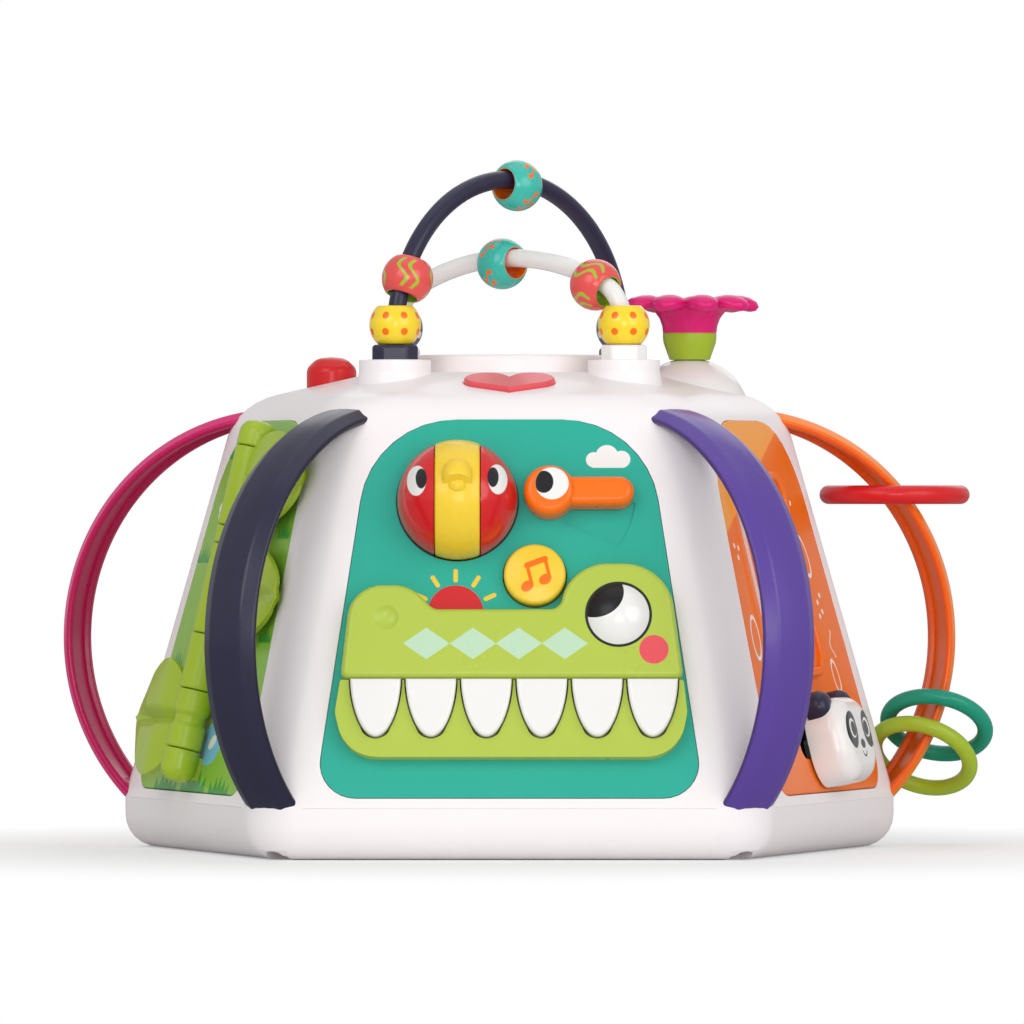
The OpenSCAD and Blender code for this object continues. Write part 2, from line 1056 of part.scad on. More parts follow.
module music_button() {
  color(yellow)
    on_face(front)
      at_point(music_at) {
        rod(music_d / 2, catch_back, music_rise);
        rod(music_d / 2 + play + catch_w, catch_back, catch_back + catch_t);
      }
}

// Left face

module stem_piece(span) {
  along_stem()
    difference() {
      rod(stem_r, span[0], span[1]);
      rod(bore_r, span[0] - cut, span[1] + cut);
    }
}

module stem_caps() {
  spans = [
    [stem_low, leaf_bottom_span[0] - play],
    [leaf_bottom_span[1] + play, leaf_middle_span[0] - play],
    [leaf_middle_span[1] + play, leaf_top_span[0] - play],
    [leaf_top_span[1] + play, stem_high]
  ];
  color(green)
    for (span = spans) {
      stem_piece(span);
      on_face(left)
        difference() {
          translate([stem_u - stem_web / 2, span[0], 0])
            cube([stem_web, span[1] - span[0], stem_n]);
          translate([stem_u, span[0] - cut, stem_n])
            rotate([-90, 0, 0])
              cylinder(r = stem_r - stem_bite, h = span[1] - span[0] + 2 * cut);
        }
    }
}

// A pointed leaf along +x, of length l and width w
module leaf_outline(l, w) {
  bow = (l * l + w * w) / (4 * w);
  translate([l / 2, 0])
    intersection() {
      translate([0, bow - w / 2])
        circle(bow);
      translate([0, w / 2 - bow])
        circle(bow);
    }
}

// A leaf with its knuckle on the stem: side is -1 to the left and 1 to the right
module leaf(span, size, side) {
  l = size[0];
  color(lime) {
    stem_piece(span);
    on_face(left)
      difference() {
        translate([stem_u, (span[0] + span[1]) / 2, stem_n - leaf_t / 2])
          linear_extrude(leaf_t)
            rotate(side < 0 ? 180 : 0)
              leaf_outline(l, size[1]);
        translate([stem_u, span[0] - l, stem_n])
          rotate([-90, 0, 0]) {
            cylinder(r = stem_r - stem_bite, h = span[1] - span[0] + 2 * l);
            cylinder(r = stem_r + play, h = l);
            translate([0, 0, span[1] - span[0] + l])
              cylinder(r = stem_r + play, h = l);
          }
      }
  }
}

module leaf_top() {
  leaf(leaf_top_span, leaf_top_size, 1);
}

module leaf_middle() {
  leaf(leaf_middle_span, leaf_middle_size, 1);
}

module leaf_bottom() {
  leaf(leaf_bottom_span, leaf_bottom_size, -1);
}

// Right face

module panda_slider() {
  color(white)
    on_face(right)
      at_point(panda_at) {
        slab(panda_lift, panda_lift + panda_t) {
          polygon(rounded(
            [[-panda_w, -panda_h], [panda_w, -panda_h], [panda_w, panda_h], [-panda_w, panda_h]] / 2,
            [panda_chin_round, panda_chin_round, panda_brow_round, panda_brow_round]
          ));
          for (side = [-1, 1])
            translate([side * (panda_w / 2 - ear_r), panda_h / 2 - edge_round])
              circle(ear_r);
        }
        slab(catch_back, panda_lift + cut)
          square([panda_stem, slot_h], center = true);
        slab(catch_back, catch_back + catch_t)
          square([panda_stem + panda_catch, slot_h + panda_catch], center = true);
      }
}

function inset_corners() = [
  inset_low,
  [inset_high[0], inset_low[1]],
  inset_high,
  [inset_low[0], inset_high[1]]
];

function inset_outline(g) = rounded(grown(inset_corners(), g), [for (i = [0:3]) inset_round + g]);

module track_inset() {
  color(white)
    on_face(right) {
      slab(0, inset_t)
        polygon(inset_outline(0));
      slab(0, inset_rim_t)
        difference() {
          polygon(inset_outline(0));
          polygon(inset_outline(-inset_rim));
        }
    }
}

// Rear faces

module rear_spinner() {
  color(orange)
    on_face(rear_right)
      at_point(rear_at)
        difference() {
          union() {
            for (i = [0:spinner_lobes - 1])
              at_point(polar(360 * i / spinner_lobes, spinner_r - spinner_lobe_r))
                rod(spinner_lobe_r, play, spinner_t);
            rod(spinner_r - spinner_lobe_r, play, spinner_t);
            rod(hub_r, play, spinner_t + hub_rise);
          }
          rod(bore_r, -cut, spinner_t);
        }
}

module dial_hand() {
  color(red)
    on_face(rear_left)
      at_point(rear_at)
        difference() {
          union() {
            rod(hub_r, play, hand_t + hand_hub_rise);
            slab(play, hand_t) {
              translate([-hand_w / 2, 0])
                square([hand_w, hand_l - hand_w / 2]);
              translate([0, hand_l - hand_w / 2])
                circle(hand_w / 2);
            }
          }
          rod(bore_r, -cut, hand_t);
        }
}

// Deck

module on_heart() {
  translate([0, -heart_r, heart_z])
    rotate([deck_slope, 0, 0])
      children();
}

// A heart with its point to the front, grown by g
module heart_outline(g) {
  lobe = heart_lobe + g;
  lobe_x = heart_w / 2 - heart_lobe;
  tip = heart_tip * lobe / heart_lobe;
  far = norm([lobe_x, tip]);
  turn = atan2(tip, lobe_x) - asin(lobe / far);
  reach = sqrt(far * far - lobe * lobe);
  touch = [reach * cos(turn), reach * sin(turn) - tip];
  for (side = [-1, 1])
    translate([side * lobe_x, 0])
      circle(lobe);
  polygon([
    [0, -tip], touch, [lobe_x, 0], [0, lobe / 3], [-lobe_x, 0], [-touch[0], touch[1]]
  ]);
}

module heart_button() {
  color(red)
    on_heart() {
      slab(-heart_depth, heart_rise)
        heart_outline(0);
      slab(-heart_depth, -heart_depth + catch_t)
        heart_outline(catch_w);
    }
}

module dome_button() {
  color(red)
    at_point(polar(dome_turn, dome_at_r)) {
      rod(dome_d / 2, dome_low, deck_z + dome_rise);
      translate([0, 0, deck_z + dome_rise])
        intersection() {
          translate([0, 0, dome_cap_h - dome_ball_r])
            sphere(dome_ball_r);
          rod(dome_d / 2, -cut, dome_cap_h);
        }
      rod(dome_d / 2 + catch_w, dome_low, dome_low + catch_t);
    }
}

module at_flower() {
  at_point(polar(flower_turn, flower_at_r))
    children();
}

module flower_dome() {
  color(white)
    difference() {
      at_flower()
        translate([0, 0, mount_dome_z])
          sphere(mount_dome_r);
      body_outer();
      post_points()
        rod(boss_r + seat, deck_z - 2 * boss_h, boss_z + boss_h);
      strap(corner_side_right, play);
      at_flower()
        rod(bore_r, dome_low, mount_dome_top + cut);
    }
}

module flower_cup() {
  color(green)
    at_flower()
      difference() {
        translate([0, 0, cup_z])
          cylinder(r1 = cup_low_r, r2 = cup_high_r, h = cup_h);
        rod(bore_r, cup_z - cut, bell_z - bell_t);
      }
}

// Rings of the bell, moved in by inset: it flares late, and the scallops grow towards the rim
function bell_levels(inset, low) =
  [for (k = [0:bell_steps])
    let (
      rise = 1 - pow(1 - k / bell_steps, bell_bulge),
      r = cup_high_r + (flower_r - cup_high_r) * pow(rise, bell_flare) - inset,
      count = petals * petal_points
    )
    [for (i = [0:count - 1])
      let (turn = 360 * i / count, wave = scallop * rise * rise * cos(turn * petals))
      concat(polar(turn, r * (1 + wave)), low + (bell_h - bell_t) * rise)]];

function reversed(rows) = [for (k = [len(rows) - 1:-1:0]) rows[k]];

// Up the outer face of the bell, over its rim and down the inner face
module flower_petals() {
  color(magenta)
    at_flower()
      loft(concat(bell_levels(0, bell_z), reversed(bell_levels(bell_t, bell_z + bell_t))));
}

// Bead maze

// Frame of an arch: x runs along its span and y up
module on_arch(turn) {
  rotate([0, 0, turn])
    rotate([90, 0, 0])
      children();
}

module wire_bend(r, from, to) {
  rotate([0, 0, from])
    rotate_extrude(angle = to - from)
      translate([r, 0])
        circle(wire_d / 2);
}

module collars(turn) {
  rotate([0, 0, turn])
    for (side = [-1, 1])
      translate([side * post_r, 0, 0])
        rod(collar_d / 2, boss_z + seat, collar_z);
}

module maze_arch_navy() {
  color(navy) {
    collars(diagonal);
    rotate([0, 0, diagonal])
      for (side = [-1, 1])
        translate([side * post_r, 0, 0])
          rod(wire_d / 2, leg_low, high_bend_z);
    on_arch(diagonal)
      translate([0, high_bend_z])
        wire_bend(post_r, 0, 180);
  }
}

// A ring around the wire, on a bend of radius r about the point mid
function wire_ring(mid, r, turn) =
  [for (i = [0:wire_sides - 1])
    let (
      spin = 360 * i / wire_sides,
      out = r + wire_d / 2 * cos(spin)
    )
    [mid[0] + out * cos(turn), mid[1] + out * sin(turn), -wire_d / 2 * sin(spin)]];

// Rings along a stretch of a bend
function wire_bend_rings(mid, r, from, to) =
  [for (i = [0:bend_steps]) wire_ring(mid, r, from + (to - from) * i / bend_steps)];

// The low arch is one wire: leg, knee, long bend, knee and leg
function low_arch_rings() =
  let (knee_x = post_r - knee_r, rest = bend_steps * 0.001)
  concat(
    [wire_ring([knee_x, leg_low], knee_r, 0)],
    wire_bend_rings([knee_x, knee_z], knee_r, 0, 90 - knee_tilt - rest),
    wire_bend_rings([0, low_bend_z], low_bend_r, 90 - knee_tilt + rest, 90 + knee_tilt - rest),
    wire_bend_rings([-knee_x, knee_z], knee_r, 90 + knee_tilt + rest, 180),
    [wire_ring([-knee_x, leg_low], knee_r, 180)]
  );

module maze_arch_white() {
  color(white) {
    on_arch(-diagonal)
      loft(low_arch_rings());
    collars(-diagonal);
  }
}

// A bead about the origin, with its hole along z
module bead() {
  difference() {
    intersection() {
      sphere(bead_r);
      cube([3 * bead_r, 3 * bead_r, bead_l], center = true);
    }
    rod(bead_hole / 2, -bead_l, bead_l);
  }
}

module post_bead(turn, side) {
  rotate([0, 0, turn])
    translate([side * post_r, 0, post_bead_z])
      bead();
}

// A bead that hangs on a bend: turn is its place on the bend
module bend_bead(plane, z, r, turn) {
  on_arch(plane)
    translate([0, z])
      rotate([0, 0, turn])
        translate([r - hang, 0, 0])
          rotate([-90, 0, 0])
            bead();
}

module bead_yellow_left() {
  color(yellow)
    post_bead(diagonal, -1);
}

module bead_red_left() {
  color(red)
    bend_bead(diagonal, high_bend_z, post_r, red_left_turn);
}

module bead_teal_upper() {
  color(teal)
    bend_bead(diagonal, high_bend_z, post_r, teal_upper_turn);
}

module bead_blue_right() {
  color(blue)
    post_bead(diagonal, 1);
}

module bead_yellow_right() {
  color(yellow)
    post_bead(-diagonal, 1);
}

module bead_red_right() {
  color(red)
    bend_bead(-diagonal, low_bend_z, low_bend_r, red_right_turn);
}

module bead_teal_lower() {
  color(teal)
    bend_bead(-diagonal, low_bend_z, low_bend_r, teal_lower_turn);
}

module bead_blue_left() {
  color(blue)
    post_bead(-diagonal, -1);
}

// Rings on the right-hand side handle

module hoop(d, t) {
  rotate_extrude()
    translate([(d - t) / 2, 0])
      circle(t / 2);
}

module ring_red() {
  color(red)
    on_arc(corner_side_right)
      translate(concat(
        handle_mid_r * [cos(ring_big_at), sin(ring_big_at)] + [ring_big_out, 0],
        -ring_big_side
      ))
        rotate([-90, 0, 0])
          hoop(ring_big_d, ring_big_t);
}

module small_ring(at) {
  on_arc(corner_side_right)
    rotate([0, 0, handle_foot + at])
      translate([handle_mid_r + ring_off, 0, -ring_side])
        rotate([-90 - ring_tilt, 0, 0])
          hoop(ring_d, ring_t);
}

module ring_teal() {
  color(teal)
    small_ring(ring_teal_at);
}

module ring_lime() {
  color(lime)
    small_ring(ring_lime_at);
}

// Inside

module battery_box() {
  color(white)
    at_point(box_at)
      difference() {
        union() {
          slab(wall, box_high)
            square(box_in + [2 * box_wall, 2 * box_wall], center = true);
          door_screw_at()
            rod(shell_boss_r, wall, box_high);
        }
        slab(wall - cut, box_high - box_wall)
          square(box_in, center = true);
        door_screw_at()
          rod(screw_hole_r, wall - cut, box_high - cut);
      }
}

module door_screw_at() {
  translate([door_in[0] / 2 - shell_boss_r, 0, 0])
    children();
}

module batteries() {
  color(blue)
    at_point(box_at)
      for (i = [0:cells - 1])
        translate([0, (i - (cells - 1) / 2) * (cell_d + cell_gap), cell_z])
          rotate([0, i % 2 == 0 ? 90 : -90, 0]) {
            rod(cell_d / 2, -cell_l / 2, cell_l / 2 - nub_l);
            rod(nub_d / 2, cell_l / 2 - nub_l, cell_l / 2);
          }
}

module battery_door() {
  color(white)
    at_point(box_at)
      difference() {
        slab(door_low, door_high)
          square(door_in, center = true);
        door_screw_at() {
          rod(screw_head_r + play, -cut, door_low + screw_head_t);
          rod(screw_hole_r, -cut, wall + cut);
        }
      }
}

module circuit_board() {
  color(green)
    on_face(front) {
      translate([-board_half, board_low, board_front - board_t])
        cube([2 * board_half, board_high - board_low, board_t]);
      for (i = [0:5])
        key_place(i)
          translate([0, (tooth_tip + tooth_top) / 2, 0])
            rod(pad_r, board_front, pad_front);
      at_point(music_at - [0, pad_r])
        rod(pad_r, board_front, pad_front);
    }
}

module speaker() {
  color(steel)
    at_point(speaker_at) {
      rod(speaker_d / 2, wall, wall + speaker_rim_h);
      translate([0, 0, wall + speaker_rim_h])
        cylinder(r1 = speaker_d / 2 - speaker_rim_w, r2 = magnet_r, h = speaker_cone_h);
      rod(magnet_r, wall + speaker_rim_h + speaker_cone_h, wall + speaker_h);
    }
}

module power_switch() {
  color(red)
    at_point(switch_at) {
      slab(switch_low, wall + seat + catch_t)
        square([switch_w, switch_h], center = true);
      slab(wall + play, wall + play + catch_t)
        square([switch_w + 4 * switch_travel, switch_h + 4 * catch_w], center = true);
    }
}

module screw(z) {
  rod(screw_head_r, z - screw_head_t, z);
  rod(screw_d / 2, z, z + screw_l);
}

module screws() {
  color(steel) {
    corner_points(screw_at_r)
      screw(well_top);
    at_point(box_at)
      door_screw_at()
        screw(door_low + screw_head_t);
  }
}

module steel_pins() {
  color(steel) {
    along_axle()
      rod(pin_r, -axle_half, axle_half);
    on_face(front)
      at_point(lever_at)
        rod(pin_r, panel_back - cut, lever_t - lever_cover - pin_spare);
    along_stem()
      rod(pin_r, stem_low + cut, stem_high - cut);
    at_flower()
      rod(pin_r, dome_low + cut, bell_z - bell_t - pin_spare);
    on_face(rear_right)
      at_point(rear_at)
        rod(pin_r, panel_back - cut, spinner_t - pin_spare);
    on_face(rear_left)
      at_point(rear_at)
        rod(pin_r, panel_back - cut, hand_t - pin_spare);
  }
}

base_tray();
body_shell();
maze_base();
front_panel();
left_panel();
right_panel();
rear_left_panel();
rear_right_panel();
handle_front_left();
handle_front_right();
handle_side_left();
handle_side_right();
handle_rear();
crocodile_head();
crocodile_jaw();
crocodile_eye();
tooth_key(0);  // tooth_key_1
tooth_key(1);  // tooth_key_2
tooth_key(2);  // tooth_key_3
tooth_key(3);  // tooth_key_4
tooth_key(4);  // tooth_key_5
tooth_key(5);  // tooth_key_6
bird_cheeks();
bird_roller();
lever();
music_button();
stem_caps();
leaf_top();
leaf_middle();
leaf_bottom();
panda_slider();
track_inset();
rear_spinner();
dial_hand();
heart_button();
dome_button();
flower_dome();
flower_cup();
flower_petals();
maze_arch_navy();
maze_arch_white();
bead_yellow_left();
bead_red_left();
bead_teal_upper();
bead_blue_right();
bead_yellow_right();
bead_red_right();
bead_teal_lower();
bead_blue_left();
ring_red();
ring_teal();
ring_lime();
battery_box();
batteries();
battery_door();
circuit_board();
speaker();
power_switch();
screws();
steel_pins();
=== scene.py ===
from functools import partialmethod, reduce
from math import atan2, cos, exp, hypot, pi, radians, sin, sqrt, tan

import bmesh
import bpy
from bpy.props import FloatProperty, FloatVectorProperty, PointerProperty
from mathutils import Matrix, Vector


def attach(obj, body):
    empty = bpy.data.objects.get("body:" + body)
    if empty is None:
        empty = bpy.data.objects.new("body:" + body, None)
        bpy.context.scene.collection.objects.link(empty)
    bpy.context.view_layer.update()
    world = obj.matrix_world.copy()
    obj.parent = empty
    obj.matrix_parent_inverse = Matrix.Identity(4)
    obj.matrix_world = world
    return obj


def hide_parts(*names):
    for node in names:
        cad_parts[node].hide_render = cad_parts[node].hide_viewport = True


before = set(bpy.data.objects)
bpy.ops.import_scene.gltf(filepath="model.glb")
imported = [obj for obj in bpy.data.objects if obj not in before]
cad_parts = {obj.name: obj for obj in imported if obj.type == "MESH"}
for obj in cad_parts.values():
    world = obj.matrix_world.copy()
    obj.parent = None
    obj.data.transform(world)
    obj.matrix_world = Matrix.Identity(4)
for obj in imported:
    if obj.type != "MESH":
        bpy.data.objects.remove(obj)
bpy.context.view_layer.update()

bl_info = {
    "name": "Activity Center",
    "version": (1, 0, 0),
    "blender": (4, 5, 0),
    "location": "View3D > Sidebar > Activity Center",
    "description": "Models the pieces of a five-sided activity center around its packed solids",
    "category": "Add Mesh",
}

# The stage, in metres and watts
LENS, SENSOR, CLIP_END = 385, 36, 50
CAMERA_AT, CAMERA_AIM, LAMP_AIM = (0.00105, -4.6, 0.149), (0.00105, 0, 0.1419), (0, 0, 0.12)
# Each lamp's place, width and power
LAMPS = {
    "key": ((-1.5, -2.5, 1.7), 2.0, 24),
    "fill": ((1.9, -2.2, 1.1), 2.2, 25),
    "front": ((0.2, -4.2, 0.5), 1.6, 30),
    "top": ((0.1, 0.2, 2.4), 2.4, 7),
    "back": ((0.4, 2.2, 1.6), 2.0, 8),
}
BRIGHT, ROOM_LIGHT, MIRRORED = (1, 1, 1, 1), 0.47, 0.12
FLOOR_R, SHADOW_FROM, SHADOW_TO, SHADOW_GLOW = 9.0, 0.17, 0.42, 0.35
FLOOR_FLECK, FLOOR_MIRRORED = (0.93, 0.93, 0.93), (0.22, 0.22, 0.23)

# Sizes of the solids, in millimetres and degrees
MM = 0.001
SIDES, SIDE_TURN = 5, 72
FRONT, RIGHT, LEFT, REAR_RIGHT, REAR_LEFT = 0, 72, -72, 144, -144
FACE_R, LEAN, SEAM_Z = 141.9, 13.8, 22.3
DECK_Z, DECK_SLOPE = 200.056, 14.5
SCREW_R, SCREW_LOW, SCREW_TOP = 157.5, -2, 11
# A running gap between parts, and the width of the painted shade that marks it round the moving pieces
GAP, GAP_SHADE_W = 0.3, 0.55
STRAP_CR, STRAP_Z, STRAP_R, STRAP_T = 100.4, 88.8, 96.9, 6
STRAP_W, STRAP_FLAT, STRAP_EDGE, STRAP_SIDE = 25.6, 15, 1.5, 2.4
STRAP_FALL, STRAP_CROWN, CROWN_ROUND = 0.4, 0.2, 40
STRAP_HEAD, STRAP_FOOT, STRAP_END, FOOT_CORNER = 92, -52, -69.2, 4
# The channel on a strap's inner side, and the height above the foot where it begins and is whole
CHANNEL, CHANNEL_DEEP, CHANNEL_SLOPE, CHANNEL_ROUND = 18, 2, 0.8, 0.5
CHANNEL_FROM, CHANNEL_WHOLE = 6, 9
# Share of a strap's colour that is left on its inner side by painted shade, with a redder tint
INNER_SHADE, INNER_SHADE_AMBER = (0.62, 0.42, 0.42), (0.88, 0.4, 0.4)
POST_R, BOSS_TOP, DRUM_R, DRUM_TOP, DRUM_SOFT = 67.2, 205.06, 46, 207.56, 2.4
MOUND_R, MOUND_FOOT_R, MOUND_DEEP, MOUND_SOFT = 14, 17.4, 12, 4
SILL = ((-84, -1, 0), (84, -1, 0), (80.5, 3.1, 1), (-80.5, 3.1, 1))
SILL_LOW, SILL_TOP, SILL_SOFT = -1, 0.25, 0.2
COLLAR_TOP, COLLAR_W, COLLAR_CUT, COLLAR_ROUND = 211.46, 19, 4.2, 2.2
WIRE_D, LEG_LOW, HIGH_TURN, LOW_TURN = 7.6, 199.46, 45, -45
HIGH_BEND_Z, KNEE_R, KNEE_Z, KNEE_TILT = 214.256, 20, 218.86, 23.16
LOW_BEND_R, LOW_BEND_Z = 140, 108.528
BEAD_R, BEAD_L, BEAD_BORE, BEAD_HANG, POST_BEAD_Z = 10.75, 16, 12.7, 2.25, 219.756
HEAD = (
    (-69, 51.8, 3), (71, 51.8, 3), (64.8, 100, 20), (25, 100, 18), (20.5, 80.8, 5), (-31, 80.8, 5),
    (-41, 90.9, 13), (-64.7, 90.9, 14))
HEAD_LOW, HEAD_TOP, NOSTRIL_AT, NOSTRIL_R = 0.05, 9, (-50.3, 77, 17.5), 10
EYE_AT, EYE_R, EYE_BALL, EYE_BULGE, EYE_SEAT, EYE_SUNK = (44.5, 78.2), 13.4, 17.6, 5, 9.3, 1.2
KEYS, KEY_U, KEY_STEP, KEY_LOW, KEY_TOP = 6, -54.6, 22.6, -6, 9.5
TOOTH_HALF, TOOTH_TOP, TOOTH_HIGH, TOOTH_BOW, TOOTH_STEPS = 10.325, 51.5, 24, 1.8, 24
BALL_U, BALL_V, BALL_N, BALL_R, BAND_W, BAND_SOFT = -21.3, 127.7, 3, 24.7, 18.6, 0.9
HOOD, TIP, TIP_AT, BEAK_TILT, BEAK_SUNK = (6.3, 7.8, 5.5), (4.3, 3.6, 3.9), (0, -3.4, -1.6), -10, 0.8
LEVER_U, LEVER_V, LEVER_N, LEVER_D, LEVER_HIGH = 16.4, 130.4, 0.4, 21, 11
ARM_FROM, ARM_L, ARM_W, ARM_HIGH, LEVER_SOFT = 2, 34.6, 12.3, 9.4, 3.2
TUNE_AT, TUNE_R, NOTE_TURN = (10.4, 96.2), 12.7, 14
SUN_U, SUN_V, SUN_R, RAY_FROM, RAY_TO, RAY_HALF = -22, 81, 11.4, 13.6, 17.4, 0.9
STEM_U, STEM_N, STEM_R, STEM_LOW, STEM_TOP = 9, 8.5, 7.5, 6, 160
STEM_SOFT, STEM_END_SOFT, WEB_HALF, WEB_SHORT = 1, 5.5, 3, 2
LEAF_LOW, LEAF_MIDDLE, LEAF_HIGH = (19.9, 44.6), (68.5, 106.5), (114.5, 148.5)
BLADE_T, BLADE_UP, BLADE_SOFT, BLADE_CRISP, BLADE_BORDER = 3.0, 1.6, 0.9, 45, 55
# A blade's share of length where it is lifted, its crease, its swelling and its falling edge
LIFTED_BY, DROOP_BOW, CREASE_DIP, CREASE_HALF = 0.42, 1.5, 2.1, 2.6
SWELL_FROM, TIP_FADE, EDGE_FALL = 8, 0.3, 0.9
PANDA_V, PANDA_LOW, PANDA_TOP, PANDA_SOFT = 23, 1, 18, 7.5
EAR_R, EAR_U, EAR_V, EAR_LOW, EAR_TOP, EAR_SOFT = 6.8, 14.5, 15, 3, 12.5, 5
NECK_HALF, NECK_ROUND, NECK_LOW, NECK_TOP = 4, 0.5, -6, 2
TRACK_HALF, TRACK_DOWN, TRACK_UP, TRACK_ROUND, TRACK_LOW, TRACK_TOP = 30, 5, 11, 6, -1.5, 3
PLATE_LOW, PLATE_TOP, BORDER_W, BORDER_LOW, BORDER_TOP, BORDER_SOFT = 0.02, 1.6, 4, 1.5, 3.6, 1.2
FLOWER_R, FLOWER_TURN, BELL_Z, CUP_Z = 80, 108, 217.456, 207.156
MOUNT_R, MOUNT_TOP, MOUNT_LOW = 25.5, 206.856, 186
HEART_AT, LOBE_R, LOBE_X, HEART_TIP, HEART_CLEFT = (0, -72, 195.48), 9.588, 9.212, -16.4, 3.2
HEART_LOW, HEART_TOP, HEART_SOFT, TIP_ROUND = -6, 2.2, 1.7, 1.2
DOME_R, DOME_TURN, DOME_W, DOME_LOW = 79, -108, 10.5, -13
RING_STRAP, RED_RING, SMALL_RING = 108, (64, 8), (48.5, 6.75)
RED_AT, RED_SIDE, TEAL_AT, LIME_AT = 40, 10.3, -22.5, -31
# The flower's profiles through a petal and through a notch: radius and height above the cup
PETALS, PETAL_TURN, PETAL_BLUNT, BELL_SIDES = 9, -76, 0.6, 144
PETAL = (
    (11.3, 0), (11.7, 3), (12.9, 6.2), (15, 8.9), (18, 10.1), (22, 9.5), (25.5, 8.9), (28, 9.3), (29.3, 11),
    (28.4, 13.1), (25.5, 14.9), (22, 15.8), (18.5, 15.9), (15, 14.6), (12, 11.4), (9.8, 7), (9.1, 2))
NOTCH = (
    (11.3, 0), (11.6, 3), (12.4, 6), (13.8, 8.6), (15.4, 10.4), (16.6, 11.4), (17.6, 12.1), (18.4, 12.6),
    (18.8, 13.1), (18.5, 13.5), (17.6, 13.6), (16.4, 13.4), (15, 12.9), (13.4, 11.8), (11.6, 9.8),
    (9.9, 6.6), (9.1, 2))

# Degrees above which an edge is softened, or shown crisp
HARD, CRISP, CRISP_FLAT, CRISP_ROUND = 30, 38, 24, 50
# Gloss of the plastics that differ from the rest
PANEL, POLISHED, DULLER = {"rough": 0.34, "coat": 0.2}, {"rough": 0.24, "coat": 0.4}, {"rough": 0.3}
GLOSS = {"shell": {"rough": 0.36}, "gloss": POLISHED, "leaf": DULLER, "yellow": {"rough": 0.28}}
CLOUD, CLOUD_TINT, SKIN, SKIN_DEEP = 0.10, (0.80, 0.79, 0.80), 0.05, 0.0004
STEEL_DARK, STEEL_PALE, STEEL_ROUGH = (0.62, 0.62, 0.63), (0.74, 0.74, 0.75), 0.26
BOARD, CELL, CELL_CAP, CELL_CAP_X = (0.03, 0.22, 0.09), (0.05, 0.05, 0.06), (0.72, 0.45, 0.12), 12


def tint(description, red, green, blue):
    """A colour property from 0 to 255 screen values."""
    def linear(c):
        c /= 255
        return c / 12.92 if c <= 0.04045 else ((c + 0.055) / 1.055) ** 2.4
    return FloatVectorProperty(
        description=description, subtype="COLOR", size=3, min=0, max=1,
        default=(linear(red), linear(green), linear(blue)))


def length(description, millimetres):
    """A length property from a value in millimetres."""
    return FloatProperty(
        description=description, unit="LENGTH", subtype="DISTANCE", min=0, precision=5,
        default=millimetres * MM)


class ToyColours(bpy.types.PropertyGroup):
    """Colours of the mouldings and of what is printed on them."""

    shell: tint("Warm white of the base and the shell", 247, 241, 242)
    gloss: tint("Cleaner white of the keys and the small mouldings", 241, 239, 236)
    front: tint("Teal of the front panel", 32, 173, 152)
    left: tint("Green of the left panel", 136, 191, 62)
    right: tint("Deep orange of the right panel", 246, 116, 10)
    right_pale: tint("Pale orange corner of the right panel", 253, 160, 36)
    rear_right: tint("Violet of the rear right panel", 128, 104, 178)
    rear_left: tint("Yellow of the rear left panel", 246, 205, 70)
    navy: tint("Navy of the front left strap and the high arch", 44, 43, 66)
    purple: tint("Purple of the front right strap", 90, 66, 152)
    magenta: tint("Magenta of the left strap and the flower", 222, 20, 116)
    orange: tint("Orange of the lever, the frame and the spinner", 248, 114, 12)
    amber: tint("Yellowish orange of the right strap", 252, 132, 8)
    teal: tint("Teal of the rear strap and the small ring", 20, 150, 122)
    lime: tint("Lime of the crocodile", 180, 200, 76)
    leaf: tint("Lime of the leaves, the cup and the ring", 164, 190, 48)
    red: tint("Bright red of the ball, the ring and the dome", 214, 30, 34)
    coral: tint("Coral of the heart and the printed spots", 230, 84, 92)
    yellow: tint("Yellow of the roller and the round button", 243, 206, 56)
    bead_teal: tint("Teal of the sliding beads", 62, 188, 172)
    bead_red: tint("Red of the sliding beads", 230, 84, 80)
    bead_yellow: tint("Yellow of the post beads", 250, 218, 46)
    bead_blue: tint("Dark blue of the post beads", 48, 60, 112)
    mint: tint("Pale mint of the printed diamonds", 190, 222, 190)
    grass: tint("Green of the printed grass", 52, 158, 60)
    sky: tint("Blue of the printed puddle", 122, 196, 224)
    pink: tint("Pink of the printed flowers", 236, 120, 160)
    white: tint("White of the printed shapes", 240, 239, 236)
    black: tint("Black of the printed eyes", 22, 22, 26)
    # Painted shade: the dark that falls in the running gaps round the moving pieces
    gap: tint("Dark of the running gaps round the moving pieces", 26, 34, 24)
    floor: tint("Pale floor", 250, 250, 250)


class ToySizes(bpy.types.PropertyGroup):
    """Sizes of the details that the solids leave plain."""

    edge: length("Softness of the mouldings' edges", 0.5)
    tooth_edge: length("Rounding of the keys' front edges", 2.2)
    head_edge: length("Rounding of the crocodile's head", 2.4)
    strap_edge: length("Rounding between a strap's facets", 3.2)
    leaf_crease: length("Depth of the crease along a leaf", 1.9)
    bead_lip: length("Rounding of the beads' ends", 0.7)


def colours():
    return bpy.context.scene.toy_colours


def size(name):
    """A size of the toy in millimetres."""
    return getattr(bpy.context.scene.toy_sizes, name) / MM


# Places

def moved(x=0, y=0, z=0):
    return Matrix.Translation((x, y, z))


def spun(angle, axis="Z"):
    return Matrix.Rotation(radians(angle), 4, axis)


def on_face(turn, u=0, v=0, n=0):
    """A face's frame: x across, y up the face and z out of it."""
    return spun(turn) @ moved(0, -FACE_R, SEAM_Z) @ spun(90 - LEAN, "X") @ moved(u, v, n)


def on_strap(turn):
    """A strap's frame: x out of the toy, y up and z across the strap, about the arc's centre."""
    return spun(turn) @ Matrix(((0, 0, -1, 0), (-1, 0, 0, -STRAP_CR), (0, 1, 0, STRAP_Z), (0, 0, 0, 1)))


def on_arch(turn):
    """An arch's frame: x along its span and y up."""
    return spun(turn) @ spun(90, "X")


